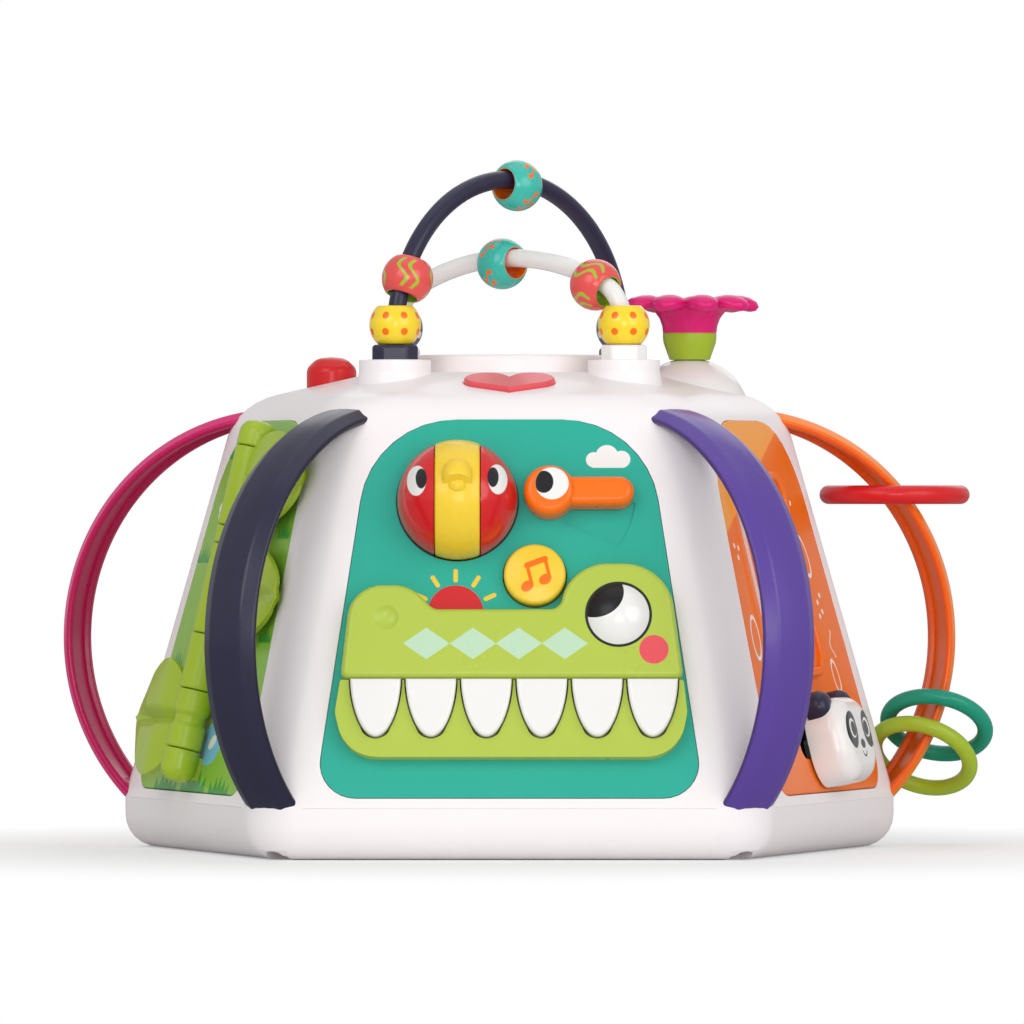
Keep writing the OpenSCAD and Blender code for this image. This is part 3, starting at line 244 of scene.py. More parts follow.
def on_deck(turn, r, z):
    """A place at a turn and a distance from the axis, upright."""
    t = radians(turn)
    return moved(r * sin(t), -r * cos(t), z)


# Mesh helpers, in millimetres

def verts_in(geom):
    return [g for g in geom if isinstance(g, bmesh.types.BMVert)]


def edges_in(geom):
    return [g for g in geom if isinstance(g, bmesh.types.BMEdge)]


def whole(bm):
    return bm.verts[:] + bm.edges[:] + bm.faces[:]


def edges_at(bm, axis, away):
    """Edges that lie at a distance from the middle along an axis."""
    return [e for e in bm.edges if all(abs(abs(v.co[axis]) - away) < 0.001 for v in e.verts)]


def put(bm, place):
    bmesh.ops.transform(bm, matrix=place, verts=bm.verts)
    return bm


def merged(bm, shade_mask=0.001):
    bmesh.ops.remove_doubles(bm, verts=bm.verts, dist=shade_mask)
    return bm


def outward(bm):
    bmesh.ops.recalc_face_normals(bm, faces=bm.faces)
    return bm


def capped(bm):
    """Closes the open ends."""
    bmesh.ops.holes_fill(bm, edges=[e for e in bm.edges if e.is_boundary], sides=0)
    return outward(bm)


def rounded(bm, verts, corners, steps):
    """Rounds each vert by the radius of its corner (x, y, radius)."""
    for i, (x, y, r) in enumerate(corners):
        if r:
            here = Vector((x, y))
            last = Vector(corners[i - 1][:2]) - here
            after = Vector(corners[(i + 1) % len(corners)][:2]) - here
            bmesh.ops.bevel(
                bm, geom=[verts[i]], offset=r / tan(last.angle(after) / 2), offset_type="OFFSET",
                affect="VERTICES", segments=steps, profile=0.5, material=-1, clamp_overlap=False)


def soften(bm, edges, width, steps=4):
    bmesh.ops.bevel(
        bm, geom=edges, offset=width, offset_type="OFFSET", affect="EDGES", segments=steps,
        profile=0.5, material=-1, clamp_overlap=True)
    return bm


def outline(corners, steps=8):
    """A flat face through corners (x, y, radius), counterclockwise."""
    bm = bmesh.new()
    verts = [bm.verts.new((x, y, 0)) for x, y, _ in corners]
    bm.faces.new(verts)
    rounded(bm, verts, corners, steps)
    return merged(bm, 0.03)


def oblong(x0, y0, x1, y1, low_round, top_round=None):
    """Corners of an oblong, the upper ones rounded like the lower ones or by a radius of their own."""
    top = low_round if top_round is None else top_round
    return [(x0, y0, low_round), (x1, y0, low_round), (x1, y1, top), (x0, y1, top)]


def raise_up(bm, low, high):
    """Turns flat faces into a slab between two heights."""
    put(bm, moved(0, 0, low))
    grown = bmesh.ops.extrude_face_region(bm, geom=bm.faces[:])["geom"]
    bmesh.ops.translate(bm, verts=verts_in(grown), vec=(0, 0, high - low))
    return outward(bm)


def block(corners, low, high, soft, steps=5, corner_steps=8):
    """A slab with a rounded outline and a softened upper edge."""
    bm = raise_up(outline(corners, corner_steps), low, high)
    return soften(bm, edges_at(bm, 2, high), soft, steps)


def full_turn(bm, sides):
    """Turns what is there once round z."""
    bmesh.ops.spin(
        bm, geom=bm.verts[:] + bm.edges[:], cent=(0, 0, 0), axis=(0, 0, 1), angle=2 * pi,
        steps=sides, use_merge=True)
    return outward(merged(bm))


def turned(profile, sides=64, steps=6):
    """A profile of (distance, height, radius) corners turned about z."""
    bm = bmesh.new()
    verts = [bm.verts.new((x, 0, z)) for x, z, _ in profile]
    for a, b in zip(verts, verts[1:]):
        bm.edges.new((a, b))
    rounded(bm, verts, profile, steps)
    return full_turn(bm, sides)


def disc_block(r, low, high, soft, steps, sides):
    """A round slab with a softened upper edge."""
    return turned([(0, high, 0), (r, high, soft), (r, low, 0), (0, low, 0)], sides, steps)


def hoop(d, t, sides=96, round_sides=28):
    """A ring about z of outer diameter d and thickness t."""
    bm = bmesh.new()
    bmesh.ops.create_circle(bm, segments=round_sides, radius=t / 2)
    return full_turn(put(bm, moved((d - t) / 2) @ spun(90, "X")), sides)


def ball(r, sides, rows):
    bm = bmesh.new()
    bmesh.ops.create_uvsphere(bm, u_segments=sides, v_segments=rows, radius=r)
    return bm


def slice_off(bm, point, normal, fill=True):
    """Cuts away what lies on the normal's side of a plane and closes the cut."""
    edges = edges_in(bmesh.ops.bisect_plane(
        bm, geom=whole(bm), dist=0.0001, plane_co=point, plane_no=normal, clear_outer=True)["geom_cut"])
    if fill and edges:
        bmesh.ops.edgeloop_fill(bm, edges=edges)
        outward(bm)
    return edges


def mesh_of(name, bm):
    """A finished mesh; the working one is freed."""
    mesh = bpy.data.meshes.new(name)
    bm.to_mesh(mesh)
    bm.free()
    return mesh


def linked(name, data):
    made = bpy.data.objects.new(name, data)
    bpy.context.scene.collection.objects.link(made)
    return made


def joined(bm, *others):
    """One mesh from several."""
    for other in others:
        mesh = mesh_of("part", other)
        bm.from_mesh(mesh)
        bpy.data.meshes.remove(mesh)
    return bm


def carved(bm, cutter):
    """Cuts one mesh out of another."""
    kept, tool = linked("kept", mesh_of("kept", bm)), linked("cutter", mesh_of("cutter", cutter))
    cut = kept.modifiers.new("cut", "BOOLEAN")
    cut.operation, cut.solver, cut.object = "DIFFERENCE", "EXACT", tool
    bm = bmesh.new()
    bm.from_object(kept, bpy.context.evaluated_depsgraph_get())
    for one in (kept, tool):
        mesh = one.data
        bpy.data.objects.remove(one)
        bpy.data.meshes.remove(mesh)
    return merged(bm)


def carried(node, soft, steps=2):
    """A copy of a node's solid with its triangles joined and its hard edges softened."""
    bm = bmesh.new()
    bm.from_mesh(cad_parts[node].data)
    bmesh.ops.scale(bm, vec=(1 / MM, 1 / MM, 1 / MM), verts=bm.verts)
    merged(bm, 0.004)
    bmesh.ops.dissolve_limit(bm, angle_limit=radians(1), verts=bm.verts, edges=bm.edges)
    edges = [e for e in bm.edges if e.is_manifold and e.calc_face_angle() > radians(HARD)]
    return soften(bm, edges, soft, steps)


def piece(name, bm, body, paint, node=None, crisp=CRISP):
    """Makes the mesh an object that rides on a body and stands for the node."""
    bmesh.ops.scale(bm, vec=(MM, MM, MM), verts=bm.verts)
    mesh = mesh_of(name, bm)
    mesh.shade_smooth()
    mesh.set_sharp_from_angle(angle=radians(crisp))
    mesh.materials.append(paint)
    made = linked(name, mesh)
    made.modifiers.new("even_normals", "WEIGHTED_NORMAL").keep_sharp = True
    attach(made, body)
    if node:
        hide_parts(node)


# Material helpers

class Wire:
    """A value in a node tree. Arithmetic on it adds Math nodes."""

    def __init__(self, nodes, socket):
        self.nodes = nodes
        self.socket = socket

    def math(self, operation, *others, clamp=False):
        values = dict(enumerate((self,) + others))
        return self.nodes.node("Math", values, operation=operation, use_clamp=clamp)

    def peer(self, out):
        return Wire(self.nodes, self.socket.node.outputs[out])

    def __rsub__(self, other):
        return self.nodes.node("Math", {0: other, 1: self}, operation="SUBTRACT")

    __add__ = __radd__ = partialmethod(math, "ADD")
    __sub__ = partialmethod(math, "SUBTRACT")
    __mul__ = partialmethod(math, "MULTIPLY")
    __truediv__ = partialmethod(math, "DIVIDE")
    __abs__ = partialmethod(math, "ABSOLUTE")
    both = partialmethod(math, "MAXIMUM")
    either = partialmethod(math, "MINIMUM")
    clamped = partialmethod(math, "ADD", 0.0, clamp=True)


def any_of(shapes):
    """The distance to the nearest of several shapes."""
    return reduce(Wire.either, shapes)


def opaque(colour):
    """A colour with its alpha, or a wire as it is."""
    return colour if isinstance(colour, Wire) else (*colour[:3], 1.0)


class Nodes:
    """The node tree of a material or of the world."""

    def __init__(self, owner):
        owner.use_nodes = True
        self.tree = owner.node_tree
        self.tree.nodes.clear()

    def node(self, kind, sockets=None, out=0, **settings):
        """A node of a type, with its settings set first, then its sockets' values or links."""
        made = self.tree.nodes.new("ShaderNode" + kind)
        for key, value in settings.items():
            setattr(made, key, value)
        for key, value in (sockets or {}).items():
            if isinstance(value, Wire):
                self.tree.links.new(value.socket, made.inputs[key])
            else:
                made.inputs[key].default_value = value
        return Wire(self, made.outputs[out] if made.outputs else None)

    def seen(self):
        """The light path, and how far it is what the camera sees, straight or mirrored."""
        path = self.node("LightPath")
        mirrored = path.peer("Is Glossy Ray") * MIRRORED
        return path, path.both(mirrored).both(path.peer("Is Transmission Ray"))


class Paint(Nodes):
    """A finish, and the shapes that are printed with it on the plane of a place."""

    def __init__(self, name, place=None):
        self.material = bpy.data.materials.new(name)
        super().__init__(self.material)
        self.coords = self.node("TexCoord", out="Object")
        if place is not None:
            self.u, self.v, self.n = self.local(place)

    def noise(self, scale, detail):
        return self.node(
            "TexNoise", {"Vector": self.coords, "Scale": scale, "Detail": detail, "Roughness": 0.55})

    def local(self, place):
        """Millimetres along the axes of a place."""
        turn = place.to_3x3().transposed()
        mapped = self.node(
            "Mapping", {
                "Vector": self.coords, "Location": turn @ -place.translation,
                "Rotation": turn.to_euler(), "Scale": (1 / MM, 1 / MM, 1 / MM)}, vector_type="POINT")
        x = self.node("SeparateXYZ", {0: mapped})
        return x, x.peer(1), x.peer(2)

    def inside(self, distance, soft=0.12):
        """1 where a distance in millimetres is below zero, with a soft edge."""
        return self.node("MapRange", {0: distance, 1: soft, 2: -soft, 3: 0.0, 4: 1.0}, clamp=True)

    def far(self, x, y):
        return (x * x + y * y).math("SQRT")

    def disc(self, u, v, r):
        return self.far(self.u - u, self.v - v) - r

    def oval(self, u, v, a, b, turn=0):
        c, s = cos(radians(turn)), sin(radians(turn))
        x, y = self.u - u, self.v - v
        return (self.far((x * c + y * s) / a, (y * c - x * s) / b) - 1) * min(a, b)

    def bar(self, u0, v0, u1, v1, half):
        """A line with round ends."""
        du, dv = u1 - u0, v1 - v0
        x, y = self.u - u0, self.v - v0
        along = ((x * du + y * dv) / (du * du + dv * dv)).clamped()
        return self.far(x - along * du, y - along * dv) - half

    def diamond(self, u, v, a, b):
        return (abs(self.u - u) / a + abs(self.v - v) / b - 1) * min(a, b)

    def over(self, under, colour, mask, blend="MIX"):
        sockets = {0: mask, 6: opaque(under), 7: opaque(colour)}
        return self.node("Mix", sockets, 2, data_type="RGBA", blend_type=blend)

    def plastic(self, colour, shapes=(), rough=0.32, coat=0.12):
        """Moulded plastic with colours printed on it, each inside its distance.

        It has a faint cloudy tint, uneven gloss and the fine skin of the mould.
        """
        for ink, distance in shapes:
            colour = self.over(colour, ink, self.inside(distance))
        drift = self.noise(9.0, 3.0)
        flecks = self.noise(260.0, 2.0)
        cloudy = drift.math("MULTIPLY_ADD", CLOUD * 2, -CLOUD * 0.5, clamp=True)
        dull = self.over(colour, CLOUD_TINT, cloudy, "MULTIPLY")
        handled = self.noise(34.0, 4.0)
        gloss = rough + (handled - 0.5) * 0.16 + (flecks - 0.5) * 0.06
        height = self.noise(900.0, 2.0)
        bump = self.node("Bump", {"Strength": SKIN, "Distance": SKIN_DEEP, "Height": height})
        return self.ended(self.node("BsdfPrincipled", {
            "Base Color": dull, "Roughness": gloss.clamped(), "Normal": bump, "IOR": 1.49,
            "Specular IOR Level": 0.32, "Coat Weight": coat, "Coat Roughness": 0.12}))

    def steel(self):
        """Bright steel with fine flecks of wear."""
        shade = self.over(STEEL_DARK, STEEL_PALE, self.noise(420.0, 3.0))
        gloss = STEEL_ROUGH + (self.noise(90.0, 3.0) - 0.5) * 0.2
        return self.ended(self.node(
            "BsdfPrincipled", {"Base Color": shade, "Metallic": 1.0, "Roughness": gloss.clamped()}))

    def ended(self, shader):
        self.node("OutputMaterial", {"Surface": shader})
        return self.material


FINISHES = {}


def plain(tone):
    """A moulded plastic in one of the toy's colours, made once."""
    if tone not in FINISHES:
        colour = getattr(colours(), tone)
        FINISHES[tone] = Paint(tone + "_plastic").plastic(colour, **GLOSS.get(tone, {}))
    return FINISHES[tone]


# Operators

class ToyStep:
    """What every step of the build shares."""

    bl_options = {"REGISTER", "UNDO"}


class ACTIVITY_OT_stage(ToyStep, bpy.types.Operator):
    """Sets the camera, the soft lights and the pale floor"""

    bl_idname = "activity.stage"
    bl_label = "Stage"

    def execute(self, context):
        scene = context.scene
        scene.view_settings.view_transform = "Standard"
        lens = bpy.data.cameras.new("camera")
        lens.lens, lens.sensor_width, lens.clip_end = LENS, SENSOR, CLIP_END
        scene.camera = self.aimed("camera", lens, CAMERA_AT, CAMERA_AIM)
        for name, (place, wide, power) in LAMPS.items():
            lamp = bpy.data.lights.new(name, "AREA")
            lamp.shape, lamp.size, lamp.energy = "DISK", wide, power
            self.aimed(name, lamp, place, LAMP_AIM)
        self.world(scene)
        self.floor()
        return {"FINISHED"}

    def aimed(self, name, data, place, aim):
        made = linked(name, data)
        made.location = place
        made.rotation_euler = (Vector(aim) - made.location).to_track_quat("-Z", "Y").to_euler()
        return made

    def world(self, scene):
        scene.world = bpy.data.worlds.new("white_room")
        nodes = Nodes(scene.world)
        lit, shown = [
            nodes.node("Background", {"Color": BRIGHT, "Strength": strength})
            for strength in (ROOM_LIGHT, 1.0)]
        mixed = nodes.node("MixShader", {0: nodes.seen()[1], 1: lit, 2: shown})
        nodes.node("OutputWorld", {"Surface": mixed})

    def floor(self):
        """A pale floor that keeps the shadow near the toy and is white further off."""
        bm = bmesh.new()
        bmesh.ops.create_circle(bm, cap_ends=True, segments=96, radius=FLOOR_R)
        mesh = mesh_of("floor", bm)
        paint = Paint("floor_paper")
        x = paint.node("SeparateXYZ", {0: paint.coords})
        off = paint.node(
            "MapRange", {0: paint.far(x, x.peer(1)), 1: SHADOW_FROM, 2: SHADOW_TO, 3: SHADOW_GLOW, 4: 1.0},
            clamp=True, interpolation_type="SMOOTHSTEP")
        path, seen = paint.seen()
        paper = paint.over(colours().floor, FLOOR_FLECK, paint.noise(60.0, 3.0) * 0.3)
        tone = paint.over(FLOOR_MIRRORED, paper, path.both(path.peer("Is Diffuse Ray")))
        matt = paint.node("BsdfDiffuse", {"Color": tone})
        glow = paint.node("Emission", {"Color": BRIGHT, "Strength": 1.0})
        mesh.materials.append(paint.ended(
            paint.node("MixShader", {0: off * seen, 1: matt, 2: glow})))
        linked("floor", mesh)


class ACTIVITY_OT_body(ToyStep, bpy.types.Operator):
    """Models the base, the shell, the post mounds and the drum"""

    bl_idname = "activity.body"
    bl_label = "Base and shell"

    def execute(self, context):
        white = plain("shell")
        base = carried("base_tray", size("edge"))
        for k in range(SIDES):
            well = raise_up(outline(oblong(-4.4, -8, 4.4, 5, 4.3)), SCREW_LOW, SCREW_TOP)
            base = carved(base, put(well, spun(SIDE_TURN * (k + 0.5)) @ moved(0, -SCREW_R)))
        piece("base_skin", base, "body", white, "base_tray", CRISP_FLAT)
        shell = carried("body_shell", size("edge"))
        piece("shell_skin", shell, "body", white, "body_shell", CRISP_FLAT)
        top, low = BOSS_TOP + GAP, DECK_Z - MOUND_DEEP
        mound = [(0, top, 0), (MOUND_R, top, MOUND_SOFT), (MOUND_FOOT_R, low, 0), (0, low, 0)]
        mounds = joined(*[put(turned(mound), on_deck(45 + 90 * k, POST_R, 0)) for k in range(4)])
        piece("post_mounds", mounds, "body", white)
        drum = disc_block(DRUM_R, DECK_Z - 1, DRUM_TOP, DRUM_SOFT, 6, 96)
        piece("drum_skin", drum, "body", white, "maze_base")
        sills = [put(block(SILL, SILL_LOW, SILL_TOP, SILL_SOFT, 2), on_face(SIDE_TURN * k))
                 for k in range(SIDES)]
        piece("panel_sills", joined(*sills), "body", white)
        return {"FINISHED"}


class ACTIVITY_OT_panels(ToyStep, bpy.types.Operator):
    """Dresses the five panels with their prints"""

    bl_idname = "activity.panels"
    bl_label = "Panels"

    def execute(self, context):
        tones = colours()
        for node, slot, paint in (
                ("front_panel", "panel_teal", self.front(tones)),
                ("left_panel", "panel_green", self.left(tones)),
                ("right_panel", "panel_orange", self.right(tones)),
                ("rear_right_panel", "panel_violet", self.rear(tones.rear_right, tones.pink, REAR_RIGHT)),
                ("rear_left_panel", "panel_yellow", self.rear(tones.rear_left, tones.coral, REAR_LEFT))):
            skin = carried(node, size("edge"))
            if node == "right_panel":
                track = outline(oblong(
                    -TRACK_HALF, PANDA_V - TRACK_DOWN, TRACK_HALF, PANDA_V + TRACK_UP, TRACK_ROUND))
                skin = carved(skin, put(raise_up(track, TRACK_LOW, TRACK_TOP), on_face(RIGHT)))
            piece(node + "_skin", skin, "body", paint, node, CRISP_FLAT)
        return {"FINISHED"}

    def front(self, tones):
        """A half sun over the crocodile's back and a small cloud on teal."""
        p = Paint("front_print", on_face(FRONT))
        rays = []
        for turn in (25, 57.5, 90, 122.5, 155):
            c, s = cos(radians(turn)), sin(radians(turn))
            ends = [(SUN_U + r * c, SUN_V + r * s) for r in (RAY_FROM, RAY_TO)]
            rays.append(p.bar(*ends[0], *ends[1], RAY_HALF))
        puffs = ((40, 147, 4.6), (46, 145.6, 3.6), (34.6, 145.4, 3.2))
        cloud = any_of([p.disc(*puff) for puff in puffs] + [p.bar(34.6, 143.8, 46.4, 143.8, 1.8)])
        # Painted shade in the running gaps round the round button and the ball
        gap_shade = p.disc(*TUNE_AT, TUNE_R + GAP_SHADE_W).either(p.disc(BALL_U, BALL_V, BALL_R + GAP_SHADE_W))
        shapes = [
            (tones.red, p.disc(SUN_U, SUN_V, SUN_R)), (tones.yellow, any_of(rays)), (tones.white, cloud),
            (tones.gap, gap_shade)]
        return p.plastic(tones.front, shapes, **PANEL)

    def tuft(self, p, u0, v0, wide, high):
        """Five pointed blades, each with its lean and its share of the height."""
        shapes = ((-0.5, 0.62), (-0.2, 0.86), (0.04, 1.0), (0.27, 0.8), (0.52, 0.58))
        blades = []
        for k, (lean, share) in enumerate(shapes):
            foot = u0 + wide * (k - 2) / 5
            rise = (p.v - v0) / (high * share)
            side = abs(p.u - foot - rise * (u0 + wide * lean - foot)) - (1 - rise) * (wide / 6.5)
            blades.append(side.both((rise - 1) * 3).both(v0 - p.v))
        return any_of(blades)

    def blossom(self, p, u0, v0, r):
        """Five round petals."""
        turns = [radians(72 * k + 18) for k in range(5)]
        return any_of(p.disc(u0 + r * cos(t), v0 + r * sin(t), r * 0.74) for t in turns)

    def left(self, tones):
        """Grass tufts, a puddle and small flowers on green."""
        p = Paint("left_print", on_face(LEFT))
        tufts = (
            (-34, 3, 30, 9), (6, 3, 32, 13), (-56, 101, 15, 9), (-47, 146, 12, 8), (-59, 56, 14, 8),
            (52, 112, 15, 8), (60, 68, 15, 7), (44, 3, 26, 9))
        shapes = [
            (tones.grass, any_of(self.tuft(p, *tuft) for tuft in tufts)),
            (tones.sky, p.oval(17, 24, 15, 9)), (tones.white, p.oval(20, 25, 5, 2.6, 25)),
            (tones.pink, self.blossom(p, 43, 99, 3.2)), (tones.yellow, p.disc(43, 99, 1.9)),
            (tones.white, self.blossom(p, -45, 124, 2.9)), (tones.yellow, p.disc(-45, 124, 1.7))]
        return p.plastic(tones.left, shapes, **PANEL)

    def right(self, tones):
        """A pale corner with a slanted edge, and white loops, dots and waves on orange."""
        p = Paint("right_print", on_face(RIGHT))
        corner = (p.v * -1 + p.u * 0.42 + 141) * 0.92
        loops = ((40, 104, 5, 9, 20), (-57, 70, 5, 9, -12), (46, 52, 4, 7, 14))
        dots = (
            (34, 124), (38, 127), (35, 130), (-55, 104), (-52, 108), (-57, 109), (43, 78), (48, 80),
            (44, 84), (49, 87), (-60, 40), (-56, 36))
        marks = [abs(p.oval(*loop)) - 0.5 for loop in loops] + [p.disc(*dot, 1.2) for dot in dots]
        for u0, v0 in ((50, 66), (-55, 52)):
            wave = abs(p.u - u0 - (p.v * 0.55).math("SINE") * 2.2) - 0.5
            marks.append(wave.both(abs(p.v - v0) - 6))
        well = (p.n + 0.4).both(abs(p.v - PANDA_V) - 12)
        shapes = [(tones.right_pale, corner), (tones.white, any_of(marks)), (tones.black, well)]
        return p.plastic(tones.right, shapes, **PANEL)

    def rear(self, ground, spot, turn):
        """Small dots around a rear toy."""
        p = Paint("rear_print_%d" % (turn % 360), on_face(turn))
        dots = ((-48, 28), (0, 20), (48, 28), (-36, 146), (36, 146), (-60, 60), (60, 60))
        return p.plastic(ground, [(spot, any_of(p.disc(*dot, 4.2) for dot in dots))], **PANEL)


class ACTIVITY_OT_straps(ToyStep, bpy.types.Operator):
    """Sweeps the five strap handles"""

    bl_idname = "activity.straps"
    bl_label = "Strap handles"

    def execute(self, context):
        for node, turn, tone, slot, shade_share in (
                ("handle_front_left", -36, "navy", "handle_navy", INNER_SHADE),
                ("handle_front_right", 36, "purple", "handle_purple", INNER_SHADE),
                ("handle_side_left", -108, "magenta", "handle_magenta", INNER_SHADE),
                ("handle_side_right", 108, "amber", "handle_orange", INNER_SHADE_AMBER),
                ("handle_rear", 180, "teal", "handle_teal", INNER_SHADE)):
            place = on_strap(turn)
            paint = self.paint(node, getattr(colours(), tone), shade_share, place)
            piece(node + "_strap", put(self.strap(), place), "body", paint, node, CRISP_ROUND)
        return {"FINISHED"}

    def paint(self, node, colour, shade_share, place):
        """Plastic with painted shade on the inner side, darker and redder there."""
        p = Paint(node + "_plastic", place)
        # Painted shade: the inner face and the channel are darkened, with a redder tint
        shade = [part * share for part, share in zip(colour, shade_share)]
        shade_mask = p.inside(p.far(p.u, p.v) - (STRAP_R - STRAP_T + 2.3), 0.5)
        return p.plastic(p.over(colour, shade, shade_mask * 0.85), **DULLER)

    def strap(self):
        """A soft-edged section with a channel, swept from the foot into the shoulder."""
        inner, half, flat, lip = STRAP_R - STRAP_T, STRAP_W / 2, STRAP_FLAT / 2, CHANNEL / 2
        side, face, soft = inner + STRAP_SIDE, STRAP_R - STRAP_FALL, size("strap_edge")
        floor, floor_half = inner + CHANNEL_DEEP, lip - CHANNEL_SLOPE
        bm = outline([
            (inner, -half, STRAP_EDGE), (side, -half, STRAP_EDGE), (face, -flat, soft),
            (STRAP_R + STRAP_CROWN, 0, CROWN_ROUND), (face, flat, soft), (side, half, STRAP_EDGE),
            (inner, half, STRAP_EDGE), (inner, lip, CHANNEL_ROUND), (floor, floor_half, CHANNEL_ROUND),
            (floor, -floor_half, CHANNEL_ROUND), (inner, -lip, CHANNEL_ROUND)], 4)
        put(bm, spun(STRAP_FOOT) @ spun(90, "X"))
        bmesh.ops.spin(
            bm, geom=whole(bm), cent=(0, 0, 0), axis=(0, 0, 1), angle=radians(STRAP_HEAD - STRAP_FOOT),
            steps=84)
        outward(bm)
        for above in (0.08, 0.3, 0.7, 1.2, 1.9, 2.8, FOOT_CORNER, CHANNEL_FROM, CHANNEL_WHOLE):
            bmesh.ops.bisect_plane(
                bm, geom=whole(bm), dist=0.0001, plane_co=(0, STRAP_END + above, 0), plane_no=(0, 1, 0))
        slice_off(bm, (0, STRAP_END, 0), (0, -1, 0))
        for vert in bm.verts:
            x, y, z = vert.co
            r = hypot(x, y)
            above = y - STRAP_END
            if inner + 0.05 < r < floor + 0.05 and abs(z) < lip - 0.05 and above < CHANNEL_WHOLE:
                share = max(above - CHANNEL_FROM, 0) / (CHANNEL_WHOLE - CHANNEL_FROM)
                grown = (inner + (r - inner) * share) / r
                vert.co = (x * grown, y * grown, z)
            if above < FOOT_CORNER:
                reach = half - FOOT_CORNER + sqrt(FOOT_CORNER ** 2 - (FOOT_CORNER - max(above, 0)) ** 2)
                vert.co.z = min(max(z, -reach), reach)
        return bm


class ACTIVITY_OT_crocodile(ToyStep, bpy.types.Operator):
    """Models the crocodile's head, jaw and eye"""

    bl_idname = "activity.crocodile"
    bl_label = "Crocodile"

    def execute(self, context):
        tones = colours()
        head = block(HEAD, HEAD_LOW, HEAD_TOP, size("head_edge"), 6)
        head = put(carved(head, put(ball(NOSTRIL_R, 64, 48), moved(*NOSTRIL_AT))), on_face(FRONT))
        piece("crocodile_head_skin", head, "body", self.scales(tones), "crocodile_head")
        jaw = carried("crocodile_jaw", 1.0, 4)
        piece("crocodile_jaw_skin", jaw, "body", self.gums(tones), "crocodile_jaw")
        eye = ball(EYE_BALL, 72, 48)
        slice_off(eye, (0, 0, EYE_BALL - EYE_BULGE - EYE_SUNK), (0, 0, -1))
        put(eye, on_face(FRONT, *EYE_AT, EYE_SEAT + EYE_BULGE - EYE_BALL))
        piece("crocodile_eye_skin", eye, "eye", self.eye(tones), "crocodile_eye")
        return {"FINISHED"}

    def gums(self, tones):
        """Lime with painted shade in the running gap round each key."""
        p = Paint("jaw_print", on_face(FRONT))
        # Painted shade in the running gap round each key: a widened tooth outline repeated along the row
        half = KEY_STEP / 2
        across = abs((p.u - (KEY_U - half)).math("MODULO", KEY_STEP) - half) / (TOOTH_HALF + GAP_SHADE_W)
        down = ((TOOTH_TOP - p.v) / (TOOTH_HIGH + GAP_SHADE_W)).both(0).math("POWER", TOOTH_BOW)
        key = (across * across + down - 1) * (TOOTH_HALF / 2)
        row = abs(p.u - (KEY_U + (KEYS - 1) * half)) - KEYS * half
        return p.plastic(tones.lime, [(tones.gap, key.both(p.v - TOOTH_TOP).both(row))], **DULLER)

    def scales(self, tones):
        """A row of mint diamonds, a coral cheek and painted shade round the eye, on lime."""
        p = Paint("crocodile_print", on_face(FRONT))
        shapes = [(tones.mint, p.diamond(u, 66, 9.45, 6.6)) for u in (-33.9, -14.9, 3.8, 22.6)]
        # Painted shade in the running gap round the eye
        shapes += [(tones.coral, p.disc(58.9, 63.5, 6)), (tones.gap, p.disc(*EYE_AT, EYE_R + GAP))]
        return p.plastic(tones.lime, shapes, **DULLER)

    def eye(self, tones):
        """White with a large dull pupil."""
        p = Paint("eye_print", on_face(FRONT, *EYE_AT))
        pupil = p.inside(p.disc(-8.5, 8.8, 10.7))
        colour = p.over(tones.white, tones.black, pupil)
        return p.plastic(colour, rough=0.16 + pupil * 0.2, coat=0.5 - pupil * 0.4)


class ACTIVITY_OT_keys(ToyStep, bpy.types.Operator):
    """Models the six tooth keys"""

    bl_idname = "activity.keys"
    bl_label = "Tooth keys"

    def execute(self, context):
        side = []
        for k in range(TOOTH_STEPS + 1):
            down = cos(radians(90 * k / TOOTH_STEPS))
            side.append((TOOTH_HALF * sqrt(1 - down ** TOOTH_BOW), TOOTH_TOP - TOOTH_HIGH * down, 0))
        tooth = side + [(-x, y, 0) for x, y, _ in reversed(side[1:])]
        for i in range(KEYS):
            key = block(tooth, KEY_LOW, KEY_TOP, size("tooth_edge"), 7, 10)
            put(key, on_face(FRONT, KEY_U + KEY_STEP * i))
            node = "tooth_key_%d" % (i + 1)
            piece(node + "_cap", key, "key_%d" % (i + 1), plain("gloss"), node, CRISP_ROUND)
        return {"FINISHED"}


